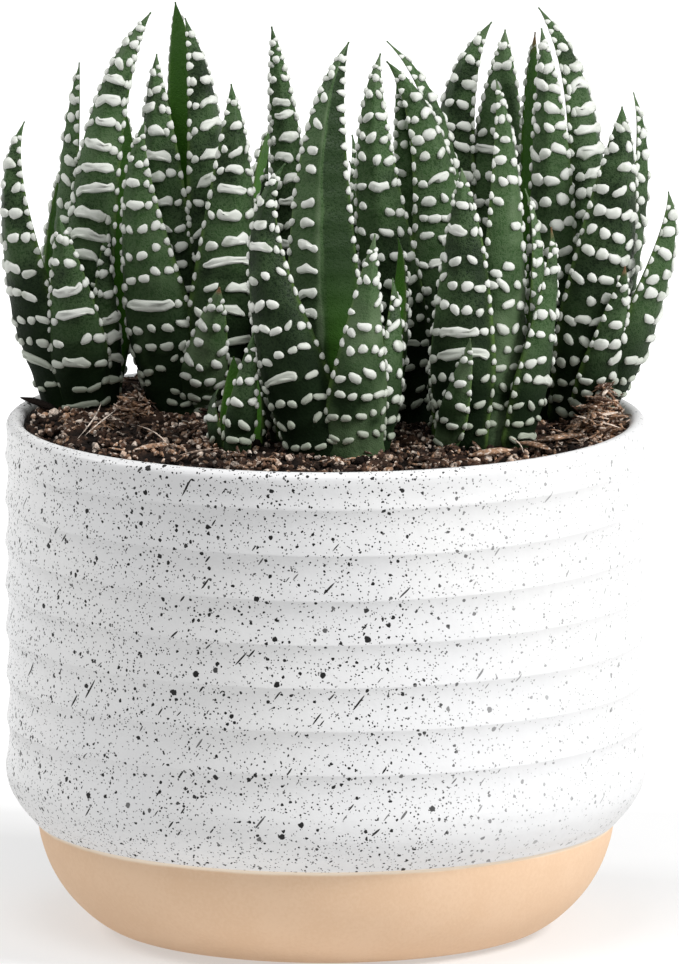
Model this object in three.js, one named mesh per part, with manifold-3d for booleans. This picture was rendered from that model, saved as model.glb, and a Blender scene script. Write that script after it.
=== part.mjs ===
// A zebra haworthia in a round glazed pot: the pot, its soil and nine rosettes of banded leaves.
// Millimetres, +Z up. The pot stands on z = 0 about the Z axis and its front faces -Y.

import * as THREE from 'three';
import { mergeVertices } from 'three/addons/utils/BufferGeometryUtils.js';
import Module from 'manifold-3d';

// The pot.
const POT_RADIUS = 56;          // outside, at the wall
const POT_HEIGHT = 90;
const POT_WALL = 3.2;
const POT_FLOOR = 7;
const POT_SEGMENTS = 32;
const LIP_BULGE = 0.5;          // how far the rounded lip rises between its two edges
const RIDGE_TOP = 83.6;         // height of the highest throwing ridge
const RIDGE_PITCH = 7.8;
const RIDGE_COUNT = 8;
const RIDGE_DEPTH = 0.6;        // depth of the hollow between two ridges
const CHAMFER_TOP = 26;         // the wall turns in below this height
const GLAZE_EDGE = [50.9, 19.2];  // radius and height where the bare clay starts
const FOOT_RADIUS = 35;
// The bare clay's rounding from the glaze edge to the foot, as radius and height.
const CLAY_CURVE = [[49.9, 15.4], [48.3, 11], [45.6, 6.9], [42, 3.3], [38.4, 1]];
// The hollow inside, from the top down, as radius and height.
const HOLLOW = [[52.8, 30], [47.5, 20], [45, 12], [40, POT_FLOOR]];

// The soil.
const FIT_GAP = 0.3;            // the soil's gap to the pot, and a crown's gap to its hole
const SOIL_RADIUS = POT_RADIUS - POT_WALL - FIT_GAP;
const SOIL_LEVEL = 89.6;
const SOIL_RINGS = 5;
const SOIL_SPOKES = 30;
const SOIL_TILT = [-0.02, 0.03];   // how the soil rises along +X and along +Y
const SOIL_EDGE_FALL = 1.6;     // how far it drops towards the wall
const SOIL_EDGE_WIDTH = 8.5;    // over the last stretch before the wall
const SOIL_BUMP = 0.27;
const HOLE_DEPTH = 8;
const CROWN_SEGMENTS = 18;
const CROWN_RISE = 1.6;         // a crown's top above the soil's level
const LEAF_START = 0.7;         // where its leaves start, above the same level
const BASE_INSET = 0.4;         // how far inside the crown's edge the outermost leaf starts

// The leaves.
const BAND_PITCH = 7;           // distance from one raised white band to the next
const BAND_RISE = 0.6;
const BASE_SHARE = 0.72;        // a leaf's width where it leaves the crown, of its full width
const LEAF_DEPTH = 0.62;        // a leaf's depth at the keel, of its half width
const TIP_DEPTH = 0.2;          // how much deeper, in the same measure, it is at its tip
const SHOULDER_OUT = 0.62;      // a shoulder between edge and keel, of the half width
const SHOULDER_BACK = 0.72;     // and of the depth
const CHANNEL = 0.12;           // how far the leaf's face is hollowed, of the depth
const BOW_LOW = 0.5;            // share of the bow at the curve's lower control point
const BOW_HIGH = 1.9;           // and at its upper one, so the leaf curves in near its tip
const LEAST_HALF_WIDTH = 0.55;
const LEAST_DEPTH = 0.7;

const POT_LOOK = { color: 0xe9e9e7, roughness: 0.35 };
const SOIL_LOOK = { color: 0x3b2a22, roughness: 0.95 };
const LEAF_LOOK = { color: 0x4c6a4f, roughness: 0.6 };

// Each rosette: its name, its centre, its crown's radius and its leaves. Each leaf: the bearing
// that its back faces (270 is the front), how far out on the crown it starts (1 is the edge),
// its tip's x, y and z, its width, its fullness (1 tapers evenly, 3 stays broad almost to the
// tip), how far it bows outwards, and how far it bends sideways.
const ROSETTES = [
  {
    name: 'rosette_far_left', centre: [-42.1, 12], crown: 8.2, leaves: [
      [222, 1.0, -52.5, 7, 141, 11.5, 1.6, 4.8, 0],
      [272, 1.0, -46.5, -1, 125.5, 10.5, 1.3, 1, 0],
      [190, 0.6, -43, 16, 150, 10, 2.4, 0, 0],
      [246, 0.4, -30.5, 12, 159.5, 9.5, 2.8, 4, -3],
      [305, 1.0, -38.2, 6, 122, 6.5, 1.6, 0, -0.5],
      [140, 1.0, -44.5, 25, 133.5, 9, 1.7, 2, 0],
      [60, 1.0, -35.5, 25, 141, 9.5, 1.8, 2, 0],
    ],
  },
  {
    name: 'rosette_left', centre: [-22, 11.5], crown: 10.2, leaves: [
      [240, 1.0, -31.5, 1, 142, 14, 1.15, 1, -2.5],
      [60, 0.3, -26.3, 14, 161, 11.5, 2.6, 1, 0],
      [290, 1.0, -16.5, 2, 148.5, 13, 1.6, 3, 0],
      [266, 1.0, -18.5, -6, 114, 8.5, 1.6, 0, 0],
      [240, 0.5, -29.5, 10, 152.5, 11, 2.4, 2, 0],
      [180, 0.9, -28, 17, 145, 9, 2, 3, 0],
      [110, 1.0, -29, 28, 133, 10, 1.8, 3, 0],
      [65, 1.0, -19, 27, 131, 10, 1.8, 3, 0],
      [350, 0.9, -13.5, 9, 129, 8, 1.6, 2, 0],
      [308, 0.4, -24.6, 12, 158.5, 11, 2.3, 3.5, 0],
    ],
  },
  {
    name: 'rosette_back', centre: [-4, 21], crown: 8, leaves: [
      [275, 0.8, -9.5, 12, 157, 7.5, 2.6, 1, 0.5],
      [200, 0.7, -10, 16, 133, 8, 1.8, 1, 0],
      [150, 1.0, -9, 34, 136.5, 9.5, 1.8, 3, 0],
      [75, 1.0, -1, 36, 134, 10, 1.8, 4, 0],
      [325, 0.9, 4.5, 20, 136.5, 8.5, 1.8, 2, 0],
      [15, 0.9, 4, 25, 131, 8, 1.6, 2, 0],
      [250, 0.3, -4.5, 20, 126, 7, 1.6, 1, 0],
    ],
  },
  {
    name: 'rosette_front', centre: [1.5, -21.5], crown: 11.4, leaves: [
      [250, 1.0, -7, -25, 139, 12.5, 1.05, 3, -4.5],
      [262, 0.5, 4, -14, 158.5, 13.5, 1.9, 3, -3.3],
      [290, 1.0, 8.5, -33, 128, 12.5, 0.75, 1, -0.6],
      [330, 0.9, 11.5, -20, 118, 8, 1.5, 1, 0],
      [30, 0.9, 12.5, -14, 124, 8, 1.6, 1.5, 0],
      [100, 0.9, 3, -2, 137.5, 9, 1.7, 2.5, 0],
      [165, 1.0, -9, -12, 127, 8.5, 1.6, 2, 0],
      [210, 0.3, 0, -22, 124, 7.5, 1.6, 1, 0],
    ],
  },
  {
    name: 'rosette_middle', centre: [15.5, 6], crown: 8.8, leaves: [
      [268, 1.0, 9.5, -3, 154.7, 11, 1.8, 3, -2.6],
      [308, 0.9, 10.5, 2, 152.5, 12.5, 2.2, 4, 4],
      [345, 0.8, 10.5, 8, 155, 10, 2.2, 7, 0],
      [70, 0.8, 16, 16, 131, 8, 1.7, 0.5, 0],
      [130, 0.9, 11.5, 16, 135, 8.5, 1.7, 1.5, 0],
      [205, 0.9, 8.2, 3, 128, 7.5, 1.5, 1.5, 0],
      [300, 0.3, 12.3, 4, 148.5, 7.5, 2.4, 1, 0],
    ],
  },
  {
    name: 'rosette_front_right', centre: [26, -14], crown: 10.6, leaves: [
      [250, 0.9, 23.5, -18, 137, 12, 1.9, 2, 1.2],
      [305, 0.7, 29.5, -11, 151.5, 10, 1.7, 1.5, 1],
      [325, 1.0, 39, -17, 126.5, 9, 1.1, 1, 1],
      [350, 0.9, 34.5, -7, 131.5, 7.5, 1.7, 2, 0],
      [236, 1.0, 25, -29, 109, 6, 1.3, -0.5, 0],
      [60, 1.0, 30.5, 2, 125.5, 8.5, 1.6, 2, 0],
      [140, 0.8, 22.5, -7, 122, 8, 1.6, 0.5, 0],
      [20, 0.3, 27, -13, 121, 7, 1.6, 1, 0],
    ],
  },
  {
    name: 'rosette_back_right', centre: [28, 28], crown: 9.2, leaves: [
      [235, 0.9, 29, 20, 156.5, 11.5, 2.6, 5, -3],
      [268, 0.8, 31.3, 18, 155.5, 13, 2.2, 2, 0],
      [160, 1.0, 22.5, 34, 131, 9, 1.8, 3, 0],
      [90, 1.0, 29, 41, 132, 10, 1.8, 4, 0],
      [30, 1.0, 35.5, 34, 134.5, 9, 1.8, 3, 0],
      [330, 0.3, 29, 27, 127, 7, 1.6, 1, 0],
    ],
  },
  {
    name: 'rosette_right', centre: [41, 8.5], crown: 9.6, leaves: [
      [255, 0.6, 37.5, 4, 158, 9, 2.6, 2, 1.5],
      [320, 0.7, 37, 11, 160.5, 11, 2.4, 5.5, 2],
      [130, 0.5, 36.5, 12, 156, 8, 2.4, 1.5, 0],
      [290, 0.9, 51.5, -1, 145, 12.5, 2.4, 3, 0],
      [350, 0.8, 53.5, 8, 146, 9, 2.2, 2.5, 0],
      [330, 1.0, 59.5, -4, 130.5, 11.5, 1.9, 2, 1],
      [305, 1.0, 52, -8, 118, 9, 1.4, 0, 0.6],
      [50, 1.0, 47.5, 20, 131, 10, 1.8, 3, 0],
      [95, 1.0, 40.5, 20, 138.5, 9, 1.8, 1.5, 0],
      [275, 0.3, 43, 6, 136, 8, 1.7, 1, 0],
    ],
  },
  {
    name: 'offset_front_left', centre: [-15, -25.5], crown: 4.6, leaves: [
      [262, 1.0, -12.5, -29, 110, 5.5, 1.2, 0.3, 0],
      [20, 1.0, -12, -22, 101, 5, 1.2, 0.3, 0],
      [100, 1.0, -16, -19, 104, 5.5, 1.3, 0.5, 0],
      [190, 1.0, -18.5, -23, 99, 5.5, 1.2, 1, 0],
    ],
  },
];

const wasm = await Module();
wasm.setup();

// Smooth step from 0 to 1 while x goes from 0 to 1.
function smooth(x) {
  const c = Math.min(Math.max(x, 0), 1);
  return c * c * (3 - 2 * c);
}

// Weld a geometry by position alone, so that it closes.
function weld(geometry) {
  geometry.deleteAttribute('normal');
  geometry.deleteAttribute('uv');
  return mergeVertices(geometry, 1e-5);
}

function toSolid(geometry) {
  const welded = weld(geometry);
  return new wasm.Manifold(new wasm.Mesh({
    numProp: 3,
    vertProperties: new Float32Array(welded.attributes.position.array),
    triVerts: new Uint32Array(welded.index.array),
  }));
}

function toGeometry(solid) {
  const mesh = solid.getMesh();
  const geometry = new THREE.BufferGeometry();
  geometry.setAttribute('position', new THREE.BufferAttribute(mesh.vertProperties, 3));
  geometry.setIndex(new THREE.BufferAttribute(mesh.triVerts, 1));
  return geometry;
}

function toMesh(name, solid, look) {
  const geometry = toGeometry(solid);
  geometry.computeVertexNormals();
  const mesh = new THREE.Mesh(geometry, new THREE.MeshStandardMaterial(look));
  mesh.name = name;
  return mesh;
}

// A closed surface from rings of equal length, each end closed on a point.
function closedFromRings(rings, startPoint, endPoint) {
  const count = rings[0].length;
  const points = rings.flat();
  const start = points.push(startPoint) - 1;
  const end = points.push(endPoint) - 1;
  const index = [];
  for (let i = 0; i < count; i += 1) {
    const j = (i + 1) % count;
    index.push(start, j, i);
    for (let r = 0; r < rings.length - 1; r += 1) {
      const a = r * count;
      const b = a + count;
      index.push(a + i, a + j, b + j, a + i, b + j, b + i);
    }
    const last = (rings.length - 1) * count;
    index.push(last + i, last + j, end);
  }
  const geometry = new THREE.BufferGeometry();
  geometry.setAttribute('position', new THREE.Float32BufferAttribute(points.flatMap((p) => p.toArray()), 3));
  geometry.setIndex(index);
  return geometry;
}

// A surface of revolution about Z from radius and height pairs that start and end on the axis.
function turned(profile, segments) {
  const geometry = new THREE.LatheGeometry(profile.map(([r, z]) => new THREE.Vector2(r, z)), segments);
  geometry.rotateX(Math.PI / 2);
  return geometry;
}

// The pot's wall between the chamfer and the lip: a cusp at each ridge, a shallow hollow between.
function ridgedWall() {
  const wall = [[POT_RADIUS, CHAMFER_TOP]];
  for (let k = RIDGE_COUNT - 1; k >= 0; k -= 1) {
    const z = RIDGE_TOP - k * RIDGE_PITCH;
    wall.push([POT_RADIUS, z]);
    if (k > 0) {
      wall.push([POT_RADIUS - RIDGE_DEPTH, z + 0.4 * RIDGE_PITCH]);
    }
  }
  return wall;
}

function buildPot() {
  const inner = POT_RADIUS - POT_WALL;
  const profile = [
    [0, 0],
    [FOOT_RADIUS, 0],
    ...[...CLAY_CURVE].reverse(),
    GLAZE_EDGE,
    [POT_RADIUS - 2.1, CHAMFER_TOP - 3.4],
    [POT_RADIUS - 0.5, CHAMFER_TOP - 1.2],
    ...ridgedWall(),
    [POT_RADIUS - 0.3, POT_HEIGHT - 1.8],
    [POT_RADIUS - 1, POT_HEIGHT - LIP_BULGE],
    [POT_RADIUS - POT_WALL / 2, POT_HEIGHT],
    [inner + 0.6, POT_HEIGHT - LIP_BULGE],
    [inner, POT_HEIGHT - 1.8],
    ...HOLLOW,
    [0, POT_FLOOR],
  ];
  return toMesh('pot', toSolid(turned(profile, POT_SEGMENTS)), POT_LOOK);
}

// The soil's level without its lumps: a little higher at the back and at the left.
function soilLevelAt(x, y) {
  return SOIL_LEVEL + SOIL_TILT[0] * x + SOIL_TILT[1] * y;
}

// The soil's lumpy top, lower by the wall.
function soilHeight(x, y) {
  const intoEdge = (Math.hypot(x, y) - (SOIL_RADIUS - SOIL_EDGE_WIDTH)) / SOIL_EDGE_WIDTH;
  const lumps = Math.sin(0.55 * x + 1.3) * Math.cos(0.47 * y) + 0.6 * Math.sin(0.9 * y - 0.4 * x);
  return soilLevelAt(x, y) - SOIL_EDGE_FALL * smooth(intoEdge) + SOIL_BUMP * lumps;
}

function buildSoil(crowns) {
  const around = Array.from({ length: SOIL_SPOKES }, (_, i) => (2 * Math.PI * i) / SOIL_SPOKES);
  const ring = (radius, height) => around.map((a) => {
    const x = radius * Math.cos(a);
    const y = radius * Math.sin(a);
    return new THREE.Vector3(x, y, height(x, y));
  });
  const sides = [...HOLLOW].reverse().map(([r, z]) => ring(r - FIT_GAP, () => z + FIT_GAP));
  const top = [];
  for (let k = SOIL_RINGS; k > 0; k -= 1) {
    top.push(ring((SOIL_RADIUS * k) / SOIL_RINGS, soilHeight));
  }
  const floor = new THREE.Vector3(0, 0, POT_FLOOR + FIT_GAP);
  const middle = new THREE.Vector3(0, 0, soilHeight(0, 0));
  let soil = toSolid(closedFromRings([...sides, ...top], floor, middle));
  for (const crown of crowns) {
    soil = soil.subtract(crownCylinder(crown, FIT_GAP, 2 * HOLE_DEPTH));
  }
  return toMesh('potting_soil', soil, SOIL_LOOK);
}

// A rosette's crown, the short stock that its leaves grow from, or, grown by a gap, its hole.
function crownCylinder({ centre: [x, y], crown }, gap, above) {
  const level = soilLevelAt(x, y);
  const low = level - HOLE_DEPTH - gap;
  const high = level + above;
  const geometry = new THREE.CylinderGeometry(crown + gap, crown + gap, high - low, CROWN_SEGMENTS);
  geometry.rotateX(Math.PI / 2);
  geometry.translate(x, y, (low + high) / 2);
  return toSolid(geometry);
}

// A leaf's half width along its length, t from 0 at the crown to 1 at the tip.
function taper(t, fullness) {
  return (1 - t ** fullness) * (BASE_SHARE + (1 - BASE_SHARE) * smooth(t / 0.3));
}

// One leaf: six-sided sections along a bowed line, raised at each band on its back and edges.
function leafSolid([bearing, share, tipX, tipY, tipZ, width, fullness, bow, side], rosette) {
  const [cx, cy] = rosette.centre;
  const angle = THREE.MathUtils.degToRad(bearing);
  const out = new THREE.Vector3(Math.cos(angle), Math.sin(angle), 0);
  const across = new THREE.Vector3(-Math.sin(angle), Math.cos(angle), 0);
  const reach = rosette.crown - BASE_INSET - BASE_SHARE * LEAF_DEPTH * 0.5 * width;
  const base = new THREE.Vector3(cx, cy, soilLevelAt(cx, cy) + LEAF_START)
    .addScaledVector(out, reach * share);
  const tip = new THREE.Vector3(tipX, tipY, tipZ);
  const bend = (along, bowShare) => base.clone().lerp(tip, along)
    .addScaledVector(out, bow * bowShare).addScaledVector(across, side * bowShare);
  const curve = new THREE.CubicBezierCurve3(base, bend(0.35, BOW_LOW), bend(0.8, BOW_HIGH), tip);

  let broadest = 0;
  for (let i = 0; i <= 20; i += 1) {
    broadest = Math.max(broadest, taper(i / 20, fullness));
  }
  const bands = Math.max(3, Math.round(curve.getLength() / BAND_PITCH));
  const steps = 2 * bands;
  const rings = [];
  for (let i = 0; i < steps; i += 1) {
    const t = i / steps;
    const rise = i % 2 === 1 ? BAND_RISE * Math.min(1, 0.45 + 1.2 * (1 - t)) : 0;
    const half = Math.max(LEAST_HALF_WIDTH, (0.5 * width * taper(t, fullness)) / broadest);
    const depth = Math.max(LEAST_DEPTH, half * (LEAF_DEPTH + TIP_DEPTH * t));
    const centre = curve.getPoint(t);
    const along = curve.getTangent(t);
    const back = out.clone().addScaledVector(along, -along.dot(out)).normalize();
    const edge = along.clone().cross(back);
    const at = (sideways, backwards) => centre.clone()
      .addScaledVector(edge, sideways).addScaledVector(back, backwards);
    rings.push([
      at(-half - 0.6 * rise, 0),
      at(-SHOULDER_OUT * half - 0.4 * rise, SHOULDER_BACK * depth + rise),
      at(0, depth + rise),
      at(SHOULDER_OUT * half + 0.4 * rise, SHOULDER_BACK * depth + rise),
      at(half + 0.6 * rise, 0),
      at(0, CHANNEL * depth),
    ]);
  }
  const first = base.clone().addScaledVector(curve.getTangent(0), -0.5);
  return toSolid(closedFromRings(rings, first, tip));
}

function buildRosette(rosette) {
  let solid = crownCylinder(rosette, 0, CROWN_RISE);
  for (const leaf of rosette.leaves) {
    solid = solid.add(leafSolid(leaf, rosette));
  }
  return toMesh(rosette.name, solid, LEAF_LOOK);
}

const plant = new THREE.Group();
plant.name = 'potted_haworthia';
plant.add(buildPot());
plant.add(buildSoil(ROSETTES));
for (const rosette of ROSETTES) {
  plant.add(buildRosette(rosette));
}

export default plant;
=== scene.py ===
"""A potted zebra haworthia: rosettes of banded leaves in bark soil, in a ribbed, flecked pot.

Sizes are in millimetres in the tables and formulas and become metres when a mesh is made.
+Z is up, the pot stands on z = 0 about the Z axis, and its front faces -Y.
"""

import enum
import logging
import math
from collections.abc import Callable, Sequence
from dataclasses import dataclass
from typing import NamedTuple

import bpy
import numpy as np
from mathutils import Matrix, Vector

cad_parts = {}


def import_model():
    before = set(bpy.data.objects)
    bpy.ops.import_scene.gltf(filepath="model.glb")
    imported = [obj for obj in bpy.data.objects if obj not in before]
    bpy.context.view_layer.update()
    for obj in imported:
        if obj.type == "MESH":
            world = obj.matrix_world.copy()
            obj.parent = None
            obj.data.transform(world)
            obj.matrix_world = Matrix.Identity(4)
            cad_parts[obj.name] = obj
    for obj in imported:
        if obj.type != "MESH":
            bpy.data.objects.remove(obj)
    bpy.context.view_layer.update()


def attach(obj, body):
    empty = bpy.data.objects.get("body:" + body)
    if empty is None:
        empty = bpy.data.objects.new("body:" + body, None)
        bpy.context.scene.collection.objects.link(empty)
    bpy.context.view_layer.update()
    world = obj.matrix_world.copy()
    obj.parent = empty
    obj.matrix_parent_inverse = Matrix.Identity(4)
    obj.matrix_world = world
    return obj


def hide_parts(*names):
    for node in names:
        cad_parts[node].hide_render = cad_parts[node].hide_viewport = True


LOG = logging.getLogger("potted_haworthia")
MM = 0.001
TAU = 2 * math.pi
BODY = "root"
DOT_POINTS = 10
BAR_POINTS = 24

Array = np.ndarray
Rng = np.random.Generator
Material = bpy.types.Material
Node = bpy.types.Node
Tree = bpy.types.NodeTree
Colour = tuple[float, float, float, float]
Socket = bpy.types.NodeSocket
Input = Socket | float | Colour | tuple[float, float, float]


def smooth(x: Array | float) -> Array:
    """Rise from 0 to 1 while x goes from 0 to 1, level at both ends: 3c^2 - 2c^3 of x kept in 0..1."""
    c = np.clip(x, 0.0, 1.0)
    return c * c * (3 - 2 * c)


def unit(v: Array) -> Array:
    """Divide each vector in the last axis by its length."""
    return v / np.maximum(np.linalg.norm(v, axis=-1, keepdims=True), 1e-12)


def lumps(x: Array, y: Array, wavelength: float, rng: Rng, waves: int = 7) -> Array:
    """Give an uneven height over the plane.

    The height is the sum of a few sine waves of random heading and phase, over the root of how
    many they are. Their wavelengths are 0.7 to 1.4 times the given one.

    Args:
        x: Places along X.
        y: Places along Y, of the same shape.
        wavelength: The typical distance between two lumps.
        rng: The source of headings and phases.
        waves: How many waves are added.

    Returns:
        Heights of about -1 to 1.
    """
    total = np.zeros_like(x)
    for _ in range(waves):
        heading, phase = rng.uniform(0, TAU, 2)
        k = TAU / (wavelength * rng.uniform(0.7, 1.4))
        total += np.sin(k * (x * math.cos(heading) + y * math.sin(heading)) + phase)
    return total / math.sqrt(waves)


def smooth_curve(points: Sequence[tuple[float, float]], steps: int) -> Array:
    """Lay a smooth line through points.

    Between each two points the line is the cubic whose slope at a point is half the way from
    the point before it to the point after it.

    Args:
        points: The points that the line passes.
        steps: How many places are taken in each stretch.

    Returns:
        Places along the line, the first and last point included.
    """
    p = np.asarray(points, float)
    before = np.vstack([2 * p[0] - p[1], p[:-2], p[-3:-2]])[: len(p) - 1]
    after = np.vstack([p[2:], 2 * p[-1] - p[-2]])
    a, b = p[:-1], p[1:]
    slope_a, slope_b = (b - before) / 2, (after - a) / 2
    t = np.linspace(0, 1, steps, endpoint=False)[:, None, None]
    line = (
        (2 * t**3 - 3 * t**2 + 1) * a
        + (t**3 - 2 * t**2 + t) * slope_a
        + (3 * t**2 - 2 * t**3) * b
        + (t**3 - t**2) * slope_b
    )
    return np.vstack([line.transpose(1, 0, 2).reshape(-1, 2), p[-1]])


@dataclass
class Shell:
    """Points and triangles of one piece, with the values that its finish reads at each point."""

    points: Array
    triangles: Array
    values: dict[str, Array]
    finish: Array | None = None

    @staticmethod
    def joined(shells: Sequence["Shell"]) -> "Shell":
        """Put several shells into one, in order."""
        offsets = np.cumsum([0] + [len(s.points) for s in shells[:-1]])
        return Shell(
            np.concatenate([s.points for s in shells]),
            np.concatenate([s.triangles + o for s, o in zip(shells, offsets)]),
            {k: np.concatenate([s.values[k] for s in shells]) for k in shells[0].values},
        )

    def volume(self) -> float:
        """Sum the signed volumes between the origin and each triangle."""
        a, b, c = (self.points[self.triangles[:, i]] for i in range(3))
        return float(np.einsum("ij,ij->", a, np.cross(b, c))) / 6

    def piece(self, name: str, finishes: Sequence[Material]) -> bpy.types.Object:
        """Make the shell an object at the origin.

        Args:
            name: The object's name.
            finishes: Its materials, which self.finish counts.

        Returns:
            The object, with smooth faces that point outwards.
        """
        triangles = self.triangles if self.volume() > 0 else self.triangles[:, ::-1]
        mesh = bpy.data.meshes.new(name)
        mesh.vertices.add(len(self.points))
        mesh.vertices.foreach_set("co", (self.points * MM).astype(np.float32).ravel())
        mesh.loops.add(3 * len(triangles))
        mesh.loops.foreach_set("vertex_index", triangles.astype(np.int32).ravel())
        mesh.polygons.add(len(triangles))
        mesh.polygons.foreach_set("loop_start", np.arange(0, 3 * len(triangles), 3, dtype=np.int32))
        mesh.polygons.foreach_set("use_smooth", np.ones(len(triangles), bool))
        if self.finish is not None:
            mesh.polygons.foreach_set("material_index", self.finish.astype(np.int32))
        for key, value in self.values.items():
            layer = mesh.attributes.new(key, "FLOAT", "POINT")
            layer.data.foreach_set("value", value.astype(np.float32).ravel())
        mesh.update(calc_edges=True)
        mesh.validate()
        for finish in finishes:
            mesh.materials.append(finish)
        made = bpy.data.objects.new(name, mesh)
        bpy.context.scene.collection.objects.link(made)
        LOG.info("%s: %d triangles", name, len(triangles))
        return made


def closed_rings(rings: Array, start: Array, end: Array, values: dict[str, Array] | None = None) -> Shell:
    """Skin a stack of rings and close both ends on a point, for one body or many alike.

    Args:
        rings: Points as (bodies, rings, around, 3).
        start: The point that closes the first ring of each body, as (bodies, 3).
        end: The point that closes the last ring, as (bodies, 3).
        values: Numbers at each ring point, as (bodies, rings, around).

    Returns:
        The closed shells as one.
    """
    bodies, count, around = rings.shape[:3]
    size = count * around + 2
    i = np.arange(around)
    j = (i + 1) % around
    low = np.arange(count - 1)[:, None] * around
    a, b, c, d = low + i, low + j, low + around + j, low + around + i
    last = (count - 1) * around
    one = np.concatenate([
        np.stack([a, b, c], -1).reshape(-1, 3),
        np.stack([a, c, d], -1).reshape(-1, 3),
        np.stack([np.full(around, size - 2), j, i], -1),
        np.stack([last + i, last + j, np.full(around, size - 1)], -1),
    ])
    points = np.concatenate([rings.reshape(bodies, -1, 3), start[:, None], end[:, None]], 1)
    triangles = (one[None] + np.arange(bodies)[:, None, None] * size).reshape(-1, 3)
    kept = {
        k: np.concatenate([v.reshape(bodies, -1), v[:, 0, :1], v[:, -1, :1]], 1).ravel()
        for k, v in (values or {}).items()
    }
    return Shell(points.reshape(-1, 3), triangles, kept)


class Graph:
    """A node tree that is being built."""

    def __init__(self, tree: Tree) -> None:
        """Start the tree empty."""
        self.tree = tree
        tree.nodes.clear()

    def add(self, kind: str, inputs: dict[str | int, Input] | None = None, **settings: object) -> Node:
        """Add a node.

        Args:
            kind: The node type's name.
            inputs: What goes into its sockets: another socket, or a constant.
            **settings: The node's own properties.

        Returns:
            The node.
        """
        node = self.tree.nodes.new(kind)
        for key, value in settings.items():
            setattr(node, key, value)
        for key, value in (inputs or {}).items():
            if isinstance(value, Socket):
                self.tree.links.new(value, node.inputs[key])
            else:
                node.inputs[key].default_value = value
        return node

    def math(self, operation: str, a: Input, b: Input, clamp: bool = False) -> Socket:
        """Work out one number from two."""
        return self.add("ShaderNodeMath", {0: a, 1: b}, operation=operation, use_clamp=clamp).outputs[0]

    def vector(self, operation: str, a: Input, b: Input) -> Socket:
        """Work out one vector from two."""
        return self.add("ShaderNodeVectorMath", {0: a, 1: b}, operation=operation).outputs[0]

    def rise(self, value: Input, low: float, high: float, start: float = 0.0, end: float = 1.0) -> Socket:
        """Go smoothly from start to end while the value goes from low to high."""
        inputs = {"Value": value, "From Min": low, "From Max": high, "To Min": start, "To Max": end}
        return self.add("ShaderNodeMapRange", inputs, interpolation_type="SMOOTHSTEP").outputs[0]

    def mix(self, factor: Input, a: Input, b: Input) -> Socket:
        """Mix two colours."""
        return self.add("ShaderNodeMix", {0: factor, 6: a, 7: b}, data_type="RGBA").outputs[2]

    def times(self, a: Input, b: Input) -> Socket:
        """Multiply two numbers."""
        return self.math("MULTIPLY", a, b)

    def plus(self, a: Input, b: Input) -> Socket:
        """Add two numbers."""
        return self.math("ADD", a, b)

    def noise(self, vector: Input, scale: Input, detail: float = 2.0) -> Socket:
        """Give cloudy noise of about 0.3 to 0.7, with scale waves a metre."""
        return self.add("ShaderNodeTexNoise", {"Vector": vector, "Scale": scale, "Detail": detail}).outputs[0]

    def axis(self, vector: Input, number: int) -> Socket:
        """Take one number of a vector, 0 for X to 2 for Z."""
        return self.add("ShaderNodeSeparateXYZ", {0: vector}).outputs[number]

    def value(self, name: str) -> Socket:
        """Read a value that the mesh carries at its points."""
        return self.add("ShaderNodeAttribute", attribute_name=name).outputs["Fac"]

    def place(self) -> Socket:
        """Read the place on the piece, in metres."""
        return self.add("ShaderNodeTexCoord").outputs["Object"]

    def bump(self, height: Input, distance: float, strength: float, normal: Socket | None = None) -> Socket:
        """Turn a height into a normal.

        Args:
            height: The height, as a number of about 0 to 1.
            distance: How many metres a height of 1 stands for.
            strength: How much of it shows.
            normal: A normal that is already uneven, where there is one.

        Returns:
            The normal.
        """
        inputs = {"Height": height, "Distance": distance, "Strength": strength}
        if normal is not None:
            inputs["Normal"] = normal
        return self.add("ShaderNodeBump", inputs).outputs[0]

    def group(self, tree: Tree, inputs: dict[str, Input]) -> Node:
        """Place a shared effect in the tree."""
        return self.add("ShaderNodeGroup", inputs, node_tree=tree)

    def finish(self, surface: dict[str, Input]) -> None:
        """Close a material's tree with its surface shader."""
        shader = self.add("ShaderNodeBsdfPrincipled", surface)
        self.add("ShaderNodeOutputMaterial", {"Surface": shader.outputs[0]})


def material(name: str) -> tuple[Material, Graph]:
    """Start a material.

    Args:
        name: The material's name.

    Returns:
        The material and its empty graph.
    """
    made = bpy.data.materials.new(name)
    made.use_nodes = True
    return made, Graph(made.node_tree)


def effect(name: str, inputs: Sequence[str], outputs: Sequence[str]) -> tuple[Tree, Graph, Node]:
    """Start a node group.

    Args:
        name: The group's name.
        inputs: The names of its inputs after the first, which is the place: each is a number.
        outputs: The names of its outputs, which are numbers.

    Returns:
        The group, its graph and its input node.
    """
    tree = bpy.data.node_groups.new(name, "ShaderNodeTree")
    tree.interface.new_socket("Vector", in_out="INPUT", socket_type="NodeSocketVector")
    for side, keys in (("INPUT", inputs), ("OUTPUT", outputs)):
        for key in keys:
            tree.interface.new_socket(key, in_out=side, socket_type="NodeSocketFloat")
    graph = Graph(tree)
    return tree, graph, graph.add("NodeGroupInput")


def shared(name: str, build: Callable[[], Tree]) -> Tree:
    """Return the named node group, built the first time."""
    return bpy.data.node_groups.get(name) or build()


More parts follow.
